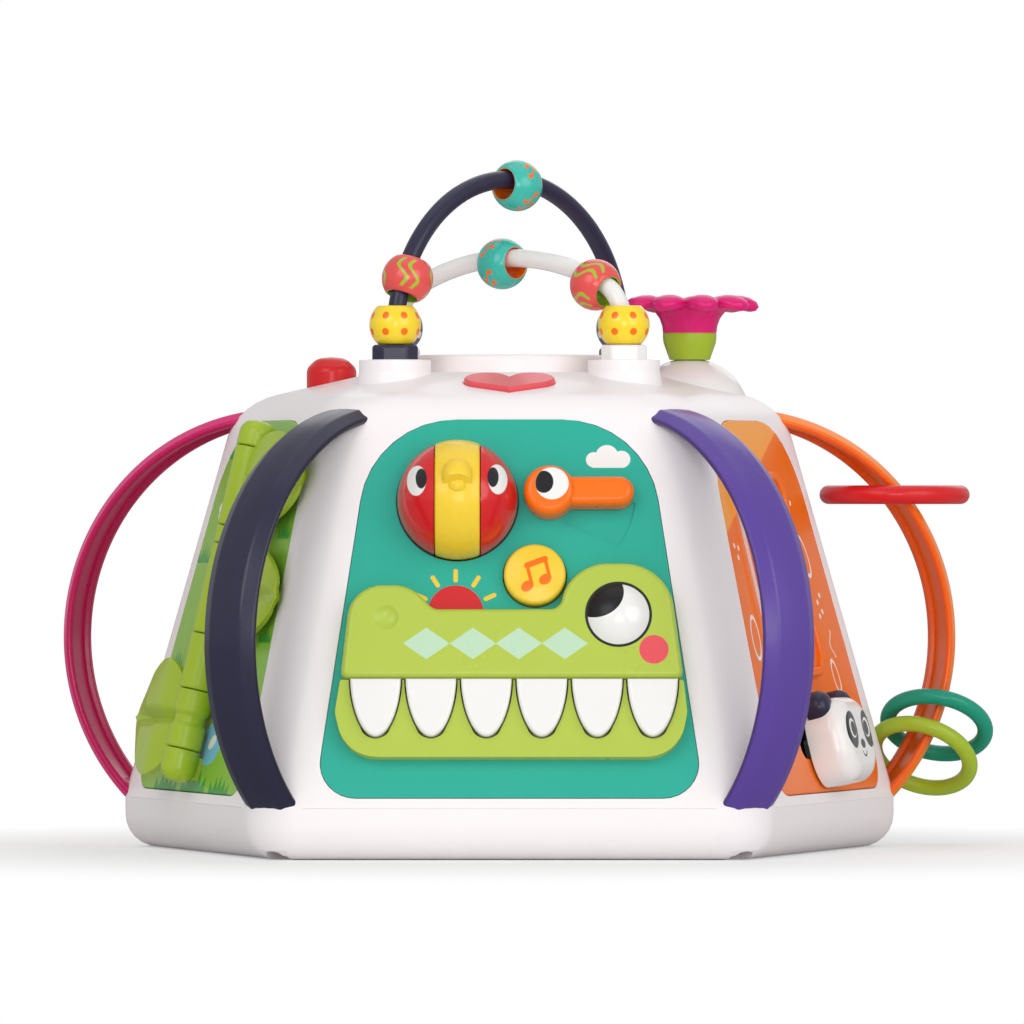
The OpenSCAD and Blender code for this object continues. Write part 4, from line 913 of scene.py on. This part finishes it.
class ACTIVITY_OT_ball(ToyStep, bpy.types.Operator):
    """Models the red cheeks and the yellow rocking roller with its beak"""

    bl_idname = "activity.ball"
    bl_label = "Roller ball"

    def execute(self, context):
        place = on_face(FRONT, BALL_U, BALL_V, BALL_N)
        half, gap = BAND_W / 2, BAND_W / 2 + GAP
        band, cheeks = self.sphere(), []
        for side in (-1, 1):
            cheek = self.sphere()
            slice_off(cheek, (side * gap, 0, 0), (-side, 0, 0))
            slice_off(cheek, (0, 0, -BALL_N), (0, 0, -1))
            cheeks.append(soften(cheek, edges_at(cheek, 0, gap), BAND_SOFT))
            slice_off(band, (side * half, 0, 0), (side, 0, 0))
        piece("ball_cheeks", put(joined(*cheeks), place), "body", self.eyes(), "bird_cheeks")
        soften(band, edges_at(band, 0, half), BAND_SOFT)
        hood = put(ball(1, 40, 24), Matrix.Diagonal((*HOOD, 1)))
        soften(hood, slice_off(hood, (0, -3.2, 0), (0, -1, 0.35)), 0.7)
        tip = put(ball(1, 32, 20), moved(*TIP_AT) @ Matrix.Diagonal((*TIP, 1)))
        beak = put(joined(hood, tip), spun(BEAK_TILT, "X") @ moved(0, 0, BALL_R - BEAK_SUNK))
        roller = put(joined(band, beak), place)
        piece("ball_roller", roller, "roller", plain("yellow"), "bird_roller")
        return {"FINISHED"}

    def sphere(self):
        return put(ball(BALL_R, 96, 48), spun(90, "Y"))

    def eyes(self):
        """Red with an eye on each cheek that looks at the roller."""
        tones = colours()
        p = Paint("ball_print", on_face(FRONT))
        shapes = []
        for u, v, pupil, turn in ((-37.9, 131.7, 1.9, 4), (-4.8, 132.3, -1.9, -4)):
            shapes.append((tones.white, p.oval(u, v, 3.95, 6.7, turn)))
            shapes.append((tones.black, p.oval(u + pupil, v + 0.4, 2.3, 4.5, turn)))
        return p.plastic(tones.red, shapes, rough=0.22, coat=0.5)


class ACTIVITY_OT_lever(ToyStep, bpy.types.Operator):
    """Models the orange lever and its eye"""

    bl_idname = "activity.lever"
    bl_label = "Lever"

    def execute(self, context):
        tones = colours()
        head = disc_block(LEVER_D / 2, 0, LEVER_HIGH, LEVER_SOFT, 7, 80)
        half, end = ARM_W / 2, ARM_W / 2 - 0.01
        arm = [(ARM_FROM, -half, 0), (ARM_L, -half, end), (ARM_L, half, end), (ARM_FROM, half, 0)]
        lever = joined(head, block(arm, 0, ARM_HIGH, LEVER_SOFT, 6, 12))
        p = Paint("lever_print", on_face(FRONT, LEVER_U, LEVER_V))
        eye = p.inside(p.disc(1.0, 2.3, 6.8))
        pupil = p.inside(p.oval(-2.4, 2.9, 4.0, 4.7)) * eye
        paint = p.plastic(p.over(p.over(tones.orange, tones.white, eye), tones.black, pupil), rough=0.28)
        place = on_face(FRONT, LEVER_U, LEVER_V, LEVER_N)
        piece("lever_skin", put(lever, place), "lever", paint, "lever")
        return {"FINISHED"}


class ACTIVITY_OT_tune_button(ToyStep, bpy.types.Operator):
    """Models the round button with a note on it"""

    bl_idname = "activity.tune_button"
    bl_label = "Round button"

    def execute(self, context):
        tones = colours()
        place = on_face(FRONT, *TUNE_AT)
        button = turned([(0, 5.6, 0), (6, 5.5, 5), (TUNE_R, 4.4, 1.6), (TUNE_R, -4, 0), (0, -4, 0)], 80)
        p = Paint("note_print", place @ spun(NOTE_TURN))
        heads = [p.oval(u, v, 2.7, 2.1, 20) for u, v in ((-4.3, -4.4), (3.5, -3.4))]
        stems = [p.bar(u, low, u, high, 0.75) for u, low, high in ((-2.3, -4, 4.2), (5.5, -3, 5.2))]
        note = any_of(heads + stems + [p.bar(-2.3, 4.0, 5.5, 5.0, 1.25)])
        paint = p.plastic(tones.yellow, [(tones.orange, note)], rough=0.28)
        piece("tune_button", put(button, place), "music_button", paint, "music_button")
        return {"FINISHED"}


class ACTIVITY_OT_leaves(ToyStep, bpy.types.Operator):
    """Models the stem and the three flipping leaves"""

    bl_idname = "activity.leaves"
    bl_label = "Leaves"

    def execute(self, context):
        lime = plain("leaf")
        ends = (STEM_LOW - GAP, *LEAF_LOW, *LEAF_MIDDLE, *LEAF_HIGH, STEM_TOP + GAP)
        caps = []
        for k in range(4):
            low, high = ends[2 * k] + GAP, ends[2 * k + 1] - GAP
            web = oblong(-WEB_HALF, low + WEB_SHORT, WEB_HALF, high - WEB_SHORT, 0)
            web = put(block(web, 0, STEM_N, 0.5, 2), moved(STEM_U))
            softs = [STEM_END_SOFT if k == end else STEM_SOFT for end in (0, 3)]
            caps.append(put(joined(self.knuckle(low, high, *softs), web), on_face(LEFT)))
        piece("stem_skin", joined(*caps), "body", lime, "stem_caps")
        # Span on the stem, length, width, turn, lift, droop, taper at root and tip, waist in the span
        leaves = (
            ("leaf_bottom", LEAF_LOW, 57, 50, 181.5, 5.4, 0, (0.75, 1.0), (6.4, 0.44, 0.56)),
            ("leaf_middle", LEAF_MIDDLE, 65, 43, -1, 0, 5.5, (0.5, 0.6), None),
            ("leaf_top", LEAF_HIGH, 64, 42, 6, 0, 5.5, (0.5, 0.6), None),
        )
        for node, (low, high), long, wide, turn, lift, droop, taper, waist in leaves:
            blade = put(self.blade(long, wide, lift, droop, *taper),
                        moved(STEM_U, (low + high) / 2, STEM_N) @ spun(turn))
            neck = []
            if waist:
                r, start, end = waist
                start, end = low + (high - low) * start, low + (high - low) * end
                neck = [(STEM_R, end + 1.6, 1.2), (r, end, 1.2), (r, start, 1.2), (STEM_R, start - 1.6, 1.2)]
            leaf = joined(self.knuckle(low, high, STEM_SOFT, STEM_SOFT, neck), blade)
            piece(node + "_skin", put(leaf, on_face(LEFT)), node, lime, node, BLADE_CRISP)
        return {"FINISHED"}

    def knuckle(self, low, high, low_soft, high_soft, neck=()):
        """A round length of stem, with a neck of (distance, place along the stem, radius) corners."""
        profile = [(0, high, 0), (STEM_R, high, high_soft), *neck, (STEM_R, low, low_soft), (0, low, 0)]
        return put(turned(profile, 48), moved(STEM_U, 0, STEM_N) @ spun(-90, "X"))

    def blade(self, long, wide, lift, droop, root, tip):
        """A blunt leaf along x with puffed halves on both sides of a crease."""
        bm = bmesh.new()
        bmesh.ops.create_grid(bm, x_segments=56, y_segments=36, size=1)
        crease = size("leaf_crease")
        widest = root / (root + tip)
        for vert in bm.verts:
            t, y = (1 + vert.co.x) / 2, vert.co.y
            reach = wide / 2 * (t / widest) ** root * ((1 - t) / (1 - widest)) ** tip
            side = reach * y
            rise = min(t / LIFTED_BY, 1)
            z = lift * rise * rise * (3 - 2 * rise) - droop * t ** DROOP_BOW
            dip = 1 - CREASE_DIP * exp(-(side / CREASE_HALF) ** 2)
            z += crease * dip * min(1, reach / SWELL_FROM, (1 - t) / TIP_FADE)
            vert.co = (long * t, side, z - EDGE_FALL * abs(y) ** 3)
        merged(bm, 0.01)
        outward(put(bm, moved(0, 0, BLADE_UP)))
        if sum(f.normal.z for f in bm.faces) < 0:
            bmesh.ops.reverse_faces(bm, faces=bm.faces)
        bmesh.ops.solidify(bm, geom=bm.faces[:], thickness=BLADE_T)
        if outward(bm).calc_volume(signed=True) < 0:
            bmesh.ops.reverse_faces(bm, faces=bm.faces)
        border = [e for e in bm.edges if e.is_manifold and e.calc_face_angle() > radians(BLADE_BORDER)]
        return soften(bm, border, BLADE_SOFT)


class ACTIVITY_OT_panda(ToyStep, bpy.types.Operator):
    """Models the sliding panda and the framed plate above it"""

    bl_idname = "activity.panda"
    bl_label = "Panda and plate"

    def execute(self, context):
        tones = colours()
        face = block(oblong(-21.5, -18, 21.5, 18, 14, 15), PANDA_LOW, PANDA_TOP, PANDA_SOFT, 10, 12)
        neck = oblong(-NECK_HALF, -NECK_HALF, NECK_HALF, NECK_HALF, NECK_ROUND)
        neck = block(neck, NECK_LOW, NECK_TOP, 0.3, 2)
        place = on_face(RIGHT, 0, PANDA_V)
        head = joined(put(face, place), put(neck, place))
        piece("panda_face", head, "panda", self.face(tones, place), "panda_slider")
        ears = [put(disc_block(EAR_R, EAR_LOW, EAR_TOP, EAR_SOFT, 8, 48), place @ moved(side * EAR_U, EAR_V))
                for side in (-1, 1)]
        piece("panda_ears", joined(*ears), "panda", plain("navy"))
        corners = oblong(-42, 52, 25, 140, 12)
        plate = put(block(corners, PLATE_LOW, PLATE_TOP, 0.3, 2, 12), on_face(RIGHT))
        piece("plate_skin", plate, "body", self.plate(tones), "track_inset")
        border = put(self.border(corners), on_face(RIGHT))
        piece("plate_frame", border, "body", plain("orange"))
        return {"FINISHED"}

    def border(self, corners):
        """A raised rounded frame inside an outline."""
        bm = outline(corners, 12)
        middle = bm.faces[:]
        bmesh.ops.inset_region(
            bm, faces=middle, thickness=BORDER_W, use_boundary=True, use_even_offset=True)
        bmesh.ops.delete(bm, geom=middle, context="FACES_ONLY")
        raise_up(bm, BORDER_LOW, BORDER_TOP)
        loops = [e for e in edges_at(bm, 2, BORDER_TOP) if e.calc_face_angle() > radians(HARD)]
        return soften(bm, loops, BORDER_SOFT)

    def face(self, tones, place):
        """Eye patches, eyes, a nose and a smile."""
        p = Paint("panda_print", place)
        shapes = []
        for side in (-1, 1):
            shapes += [
                (tones.black, p.oval(side * 10.6, 3.0, 6.4, 8.0, side * 12)),
                (tones.white, p.disc(side * 9.9, 3.6, 4.2)), (tones.black, p.disc(side * 9.0, 3.4, 3.2))]
        smile = (abs(p.disc(0, -5.6, 2.8)) - 0.42).both(p.v + 6.2)
        shapes += [(tones.black, p.oval(0, -3.2, 3.0, 2.0)), (tones.black, smile)]
        return p.plastic(tones.gloss, shapes, **POLISHED)

    def plate(self, tones):
        """Rings round dots on the plate, and an orange strip beside them."""
        p = Paint("plate_print", on_face(RIGHT))
        shapes = [(tones.right, 4 - p.u)]
        rings = ((tones.teal, -24, 118, 9), (tones.coral, 4, 100, 11), (tones.purple, -22, 74, 10))
        for tone, u, v, r in rings:
            shapes += [(tone, abs(p.disc(u, v, r)) - 1.2), (tones.bead_yellow, p.disc(u, v, r - 4))]
        return p.plastic(tones.gloss, shapes, rough=0.26, coat=0.3)


class ACTIVITY_OT_rear_toys(ToyStep, bpy.types.Operator):
    """Models the spinner wheel and the dial's hand on the rear faces"""

    bl_idname = "activity.rear_toys"
    bl_label = "Rear toys"

    def execute(self, context):
        spinner = carried("rear_spinner", 1.6, 5)
        piece("spinner_skin", spinner, "spinner", plain("orange"), "rear_spinner")
        hand = carried("dial_hand", 1.2, 5)
        piece("hand_skin", hand, "dial_hand", plain("red"), "dial_hand")
        return {"FINISHED"}


class ACTIVITY_OT_deck_buttons(ToyStep, bpy.types.Operator):
    """Models the heart button and the dome button"""

    bl_idname = "activity.deck_buttons"
    bl_label = "Deck buttons"

    def execute(self, context):
        turns = [radians(a) for a in range(-60, 151, 10)]
        side = [(LOBE_X + LOBE_R * cos(a), LOBE_R * sin(a), 0) for a in turns]
        other = [(-x, y, 0) for x, y, _ in reversed(side)]
        corners = [(0, HEART_TIP, TIP_ROUND), *side, (0, HEART_CLEFT, 0), *other]
        heart = block(corners, HEART_LOW, HEART_TOP, HEART_SOFT)
        put(heart, moved(*HEART_AT) @ spun(DECK_SLOPE, "X"))
        piece("heart_skin", heart, "heart_button", plain("coral"), "heart_button")
        profile = [(0, 7.2, 0), (6.2, 6.6, 6), (DOME_W, 2.4, 4), (DOME_W, DOME_LOW, 0), (0, DOME_LOW, 0)]
        dome = put(turned(profile, 72), on_deck(DOME_TURN, DOME_R, DECK_Z))
        piece("dome_skin", dome, "dome_button", plain("red"), "dome_button")
        return {"FINISHED"}


class ACTIVITY_OT_flower(ToyStep, bpy.types.Operator):
    """Models the spinning flower on its white dome"""

    bl_idname = "activity.flower"
    bl_label = "Flower"

    def execute(self, context):
        mount = put(ball(MOUNT_R, 96, 48), on_deck(FLOWER_TURN, FLOWER_R, MOUNT_TOP - MOUNT_R))
        slice_off(mount, (0, 0, MOUNT_LOW), (0, 0, -1))
        piece("flower_mount", mount, "body", plain("gloss"), "flower_dome")
        cup = turned([
            (0, BELL_Z + 0.3, 0), (11.4, BELL_Z + 0.1, 0.6), (11.2, CUP_Z + 6.5, 8), (8.5, CUP_Z - 1.1, 0.4),
            (0, CUP_Z + 0.1, 0)])
        put(cup, on_deck(FLOWER_TURN, FLOWER_R, 0))
        piece("flower_cup_skin", cup, "flower", plain("leaf"), "flower_cup")
        bell = put(self.bell(), on_deck(FLOWER_TURN, FLOWER_R, BELL_Z))
        piece("flower_bell", bell, "flower", plain("magenta"), "flower_petals", 60)
        return {"FINISHED"}

    def bell(self):
        """A bell whose rim swells into puffy petals with notches between them."""
        bm = bmesh.new()
        ring = bmesh.ops.create_circle(bm, segments=BELL_SIDES, radius=1)["verts"]
        edges = bm.edges[:]
        for i, ((petal_r, petal_z), (notch_r, notch_z)) in enumerate(zip(PETAL, NOTCH)):
            if i:
                grown = bmesh.ops.extrude_edge_only(bm, edges=edges)["geom"]
                ring = verts_in(grown)
                edges = [e for e in edges_in(grown) if all(v in ring for v in e.verts)]
            for vert in ring:
                flat = Vector((vert.co.x, vert.co.y)).normalized()
                wave = cos(PETALS / 2 * (atan2(flat.y, flat.x) - radians(PETAL_TURN)))
                lobe = abs(wave) ** PETAL_BLUNT
                r = notch_r + (petal_r - notch_r) * lobe
                vert.co = (*(flat * r), notch_z + (petal_z - notch_z) * lobe)
        return capped(bm)


class ACTIVITY_OT_arches(ToyStep, bpy.types.Operator):
    """Bends the two arches of the bead maze and sets their collars"""

    bl_idname = "activity.arches"
    bl_label = "Arches"

    def execute(self, context):
        high = self.bent([((0, HIGH_BEND_Z, 0), 180)], HIGH_BEND_Z)
        low = self.bent([
            ((POST_R - KNEE_R, KNEE_Z, 0), 90 - KNEE_TILT),
            ((0, LOW_BEND_Z, 0), 2 * KNEE_TILT),
            ((KNEE_R - POST_R, KNEE_Z, 0), 90 - KNEE_TILT)], KNEE_Z)
        for name, bm, turn, tone, node, slot in (
                ("high_arch", high, HIGH_TURN, "navy", "maze_arch_navy", "handle_navy"),
                ("low_arch", low, LOW_TURN, "gloss", "maze_arch_white", "gloss_white")):
            feet = [spun(turn) @ moved(side * POST_R) @ spun(-turn) for side in (-1, 1)]
            arch = joined(put(bm, on_arch(turn)), *[put(self.collar(), foot) for foot in feet])
            piece(name, arch, "body", plain(tone), node)
        return {"FINISHED"}

    def bent(self, bends, top):
        """A wire from one post, up, round the bends and down to the other post."""
        bm = bmesh.new()
        bmesh.ops.create_circle(bm, segments=28, radius=WIRE_D / 2)
        put(bm, moved(POST_R, LEG_LOW) @ spun(90, "X"))

        def last_ring(grown):
            return [e for e in edges_in(grown) if e.is_boundary]

        def straight(edges, rise):
            grown = bmesh.ops.extrude_edge_only(bm, edges=edges)["geom"]
            bmesh.ops.translate(bm, verts=verts_in(grown), vec=(0, rise, 0))
            return last_ring(grown)

        edges = straight(bm.edges[:], top - LEG_LOW)
        for centre, turn in bends:
            edges = last_ring(bmesh.ops.spin(
                bm, geom=edges, cent=centre, axis=(0, 0, 1), angle=radians(turn),
                steps=max(16, round(turn / 2.5)))["geom_last"])
        straight(edges, LEG_LOW - top)
        return capped(bm)

    def collar(self):
        """A foot block with cut corners."""
        half, cut = COLLAR_W / 2, COLLAR_W / 2 - COLLAR_CUT
        corners = []
        for x, y in ((1, 1), (-1, 1), (-1, -1), (1, -1)):
            ends = [(half, cut), (cut, half)]
            corners += [(x * a, y * b, COLLAR_ROUND) for a, b in (ends if x * y > 0 else reversed(ends))]
        return block(corners, BOSS_TOP + 0.05, COLLAR_TOP, 1.5, 5, 4)


class ACTIVITY_OT_beads(ToyStep, bpy.types.Operator):
    """Models the eight printed beads"""

    bl_idname = "activity.beads"
    bl_label = "Beads"

    def execute(self, context):
        for node, place, slot, printed in (
                ("bead_yellow_left", self.post(HIGH_TURN, -1), "bead_yellow", self.dots),
                ("bead_blue_right", self.post(HIGH_TURN, 1), "bead_blue", self.dots),
                ("bead_yellow_right", self.post(LOW_TURN, 1), "bead_yellow", self.dots),
                ("bead_blue_left", self.post(LOW_TURN, -1), "bead_blue", self.dots),
                ("bead_red_left", self.high(157.5), "bead_red", self.waves),
                ("bead_teal_upper", self.high(86), "bead_teal", self.waves),
                ("bead_red_right", self.low(68.4), "bead_red", self.waves),
                ("bead_teal_lower", self.low(91.8), "bead_teal", self.waves)):
            paint = printed(colours(), Paint(node + "_print", place), slot)
            piece(node + "_skin", put(self.bead(), place), node, paint, node, CRISP_ROUND)
        return {"FINISHED"}

    def post(self, turn, side):
        return spun(turn) @ moved(side * POST_R, 0, POST_BEAD_Z)

    def high(self, at):
        return self.bend(HIGH_TURN, HIGH_BEND_Z, POST_R, at)

    def low(self, at):
        return self.bend(LOW_TURN, LOW_BEND_Z, LOW_BEND_R, at)

    def bend(self, turn, z, r, at):
        """A place on an arch's bend, with z along the wire."""
        return on_arch(turn) @ moved(0, z) @ spun(at) @ moved(r - BEAD_HANG) @ spun(-90, "X")

    def bead(self):
        """A ball cut flat at both ends, with a bore between its lips."""
        bm = ball(BEAD_R, 64, 40)
        half = BEAD_L / 2
        share = BEAD_BORE / 2 / sqrt(BEAD_R ** 2 - half ** 2)
        inner = []
        for side in (-1, 1):
            edges = slice_off(bm, (0, 0, side * half), (0, 0, side), fill=False)
            grown = bmesh.ops.extrude_edge_only(bm, edges=edges)["geom"]
            verts = verts_in(grown)
            bmesh.ops.scale(bm, vec=(share, share, 1), verts=verts)
            inner += [e for e in edges_in(grown) if all(v in verts for v in e.verts)]
        bmesh.ops.bridge_loops(bm, edges=inner)
        outward(bm)
        lips = [e for e in edges_at(bm, 2, half) if e.calc_face_angle() > radians(HARD)]
        return soften(bm, lips, size("bead_lip") / 2, 3)

    def dots(self, tones, p, tone):
        """Two rows of dots."""
        ink = tones.orange if tone == "bead_yellow" else tones.gloss
        cell = p.v.math("ARCTAN2", p.u).math("ADD", pi).math("MODULO", pi / 4) - pi / 8
        shapes = [(ink, p.far(cell * 10, p.n - z) - 1.5) for z in (3.9, -2.9)]
        return p.plastic(getattr(tones, tone), shapes, **POLISHED)

    def waves(self, tones, p, tone):
        """Pairs of wavy stripes, and a bore of their colour."""
        ink, ripple, reach = (tones.leaf, 0.62, 6.2) if tone == "bead_red" else (tones.orange, 0.9, 3.2)
        sway = (p.n * ripple).math("SINE") * 0.16 + p.n * 0.03
        cell = (p.v.math("ARCTAN2", p.u) + pi + sway).math("MODULO", pi / 2) - pi / 4
        stripes = abs(abs(cell) - 0.24) * 10 - 0.85
        bore = p.far(p.u, p.v) - BEAD_BORE / 2 - 0.35
        shapes = [(ink, stripes.both(abs(p.n) - reach)), (ink, bore)]
        return p.plastic(getattr(tones, tone), shapes, **POLISHED)


class ACTIVITY_OT_rings(ToyStep, bpy.types.Operator):
    """Models the three loose rings on the right strap"""

    bl_idname = "activity.rings"
    bl_label = "Loose rings"

    def execute(self, context):
        for node, tone, slot, place, (d, t) in (
                ("ring_red", "red", "bright_red", self.red(), RED_RING),
                ("ring_teal", "teal", "ring_teal", self.small(TEAL_AT), SMALL_RING),
                ("ring_lime", "leaf", "leaf_lime", self.small(LIME_AT), SMALL_RING)):
            piece(node + "_hoop", put(hoop(d, t), place), node, plain(tone), node)
        return {"FINISHED"}

    def red(self):
        mid, at = STRAP_R - STRAP_T / 2, radians(RED_AT)
        centre = moved(mid * cos(at) + RED_SIDE / 3, mid * sin(at), -RED_SIDE)
        return on_strap(RING_STRAP) @ centre @ spun(-90, "X")

    def small(self, at):
        out = moved(STRAP_R - STRAP_T / 2 + 4.5, 0, -0.7)
        return on_strap(RING_STRAP) @ spun(at) @ out @ spun(-120, "X")


class ACTIVITY_OT_underside(ToyStep, bpy.types.Operator):
    """Dresses the battery door, the switch and the inner pieces"""

    bl_idname = "activity.underside"
    bl_label = "Underside"

    def execute(self, context):
        white = plain("shell")
        piece("door_skin", carried("battery_door", 0.4), "body", white, "battery_door")
        switch = carried("power_switch", 0.5, 3)
        piece("switch_skin", switch, "power_switch", plain("red"), "power_switch")
        steel = Paint("bright_steel_turned").steel()
        lacquer = Paint("board_lacquer").plastic(BOARD, **DULLER)
        cell = Paint("cell_wrap_film", Matrix.Identity(4))
        wrap = cell.plastic(CELL, [(CELL_CAP, cell.u - CELL_CAP_X)], rough=0.25, coat=0.5)
        for node, paint in (("battery_box", white), ("batteries", wrap), ("circuit_board", lacquer),
                            ("speaker", steel), ("screws", steel), ("steel_pins", steel)):
            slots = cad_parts[node].material_slots
            if not slots:
                raise RuntimeError("no material slot on " + node)
            for slot in slots:
                slot.material = paint
        return {"FINISHED"}


class ACTIVITY_PT_sidebar(bpy.types.Panel):
    """Lists the steps, the sizes and the colours"""

    bl_idname = "ACTIVITY_PT_sidebar"
    bl_label = "Activity Center"
    bl_space_type = "VIEW_3D"
    bl_region_type = "UI"
    bl_category = "Activity Center"

    def draw(self, context):
        for step in STEPS:
            self.layout.operator(step.bl_idname)
        for group in (context.scene.toy_sizes, context.scene.toy_colours):
            for key in group.__annotations__:
                self.layout.prop(group, key, text=key.replace("_", " ").capitalize())


STEPS = (
    ACTIVITY_OT_stage, ACTIVITY_OT_body, ACTIVITY_OT_panels, ACTIVITY_OT_straps, ACTIVITY_OT_crocodile,
    ACTIVITY_OT_keys, ACTIVITY_OT_ball, ACTIVITY_OT_lever, ACTIVITY_OT_tune_button, ACTIVITY_OT_leaves,
    ACTIVITY_OT_panda, ACTIVITY_OT_rear_toys, ACTIVITY_OT_deck_buttons, ACTIVITY_OT_flower,
    ACTIVITY_OT_arches, ACTIVITY_OT_beads, ACTIVITY_OT_rings, ACTIVITY_OT_underside,
)
CLASSES = (ToyColours, ToySizes) + STEPS + (ACTIVITY_PT_sidebar,)


def register():
    for made in CLASSES:
        bpy.utils.register_class(made)
    bpy.types.Scene.toy_colours = PointerProperty(type=ToyColours)
    bpy.types.Scene.toy_sizes = PointerProperty(type=ToySizes)


def unregister():
    del bpy.types.Scene.toy_sizes
    del bpy.types.Scene.toy_colours
    for made in reversed(CLASSES):
        bpy.utils.unregister_class(made)


def main():
    register()
    for step in STEPS:
        group, name = step.bl_idname.split(".")
        getattr(getattr(bpy.ops, group), name)()


if __name__ == "__main__":
    main()
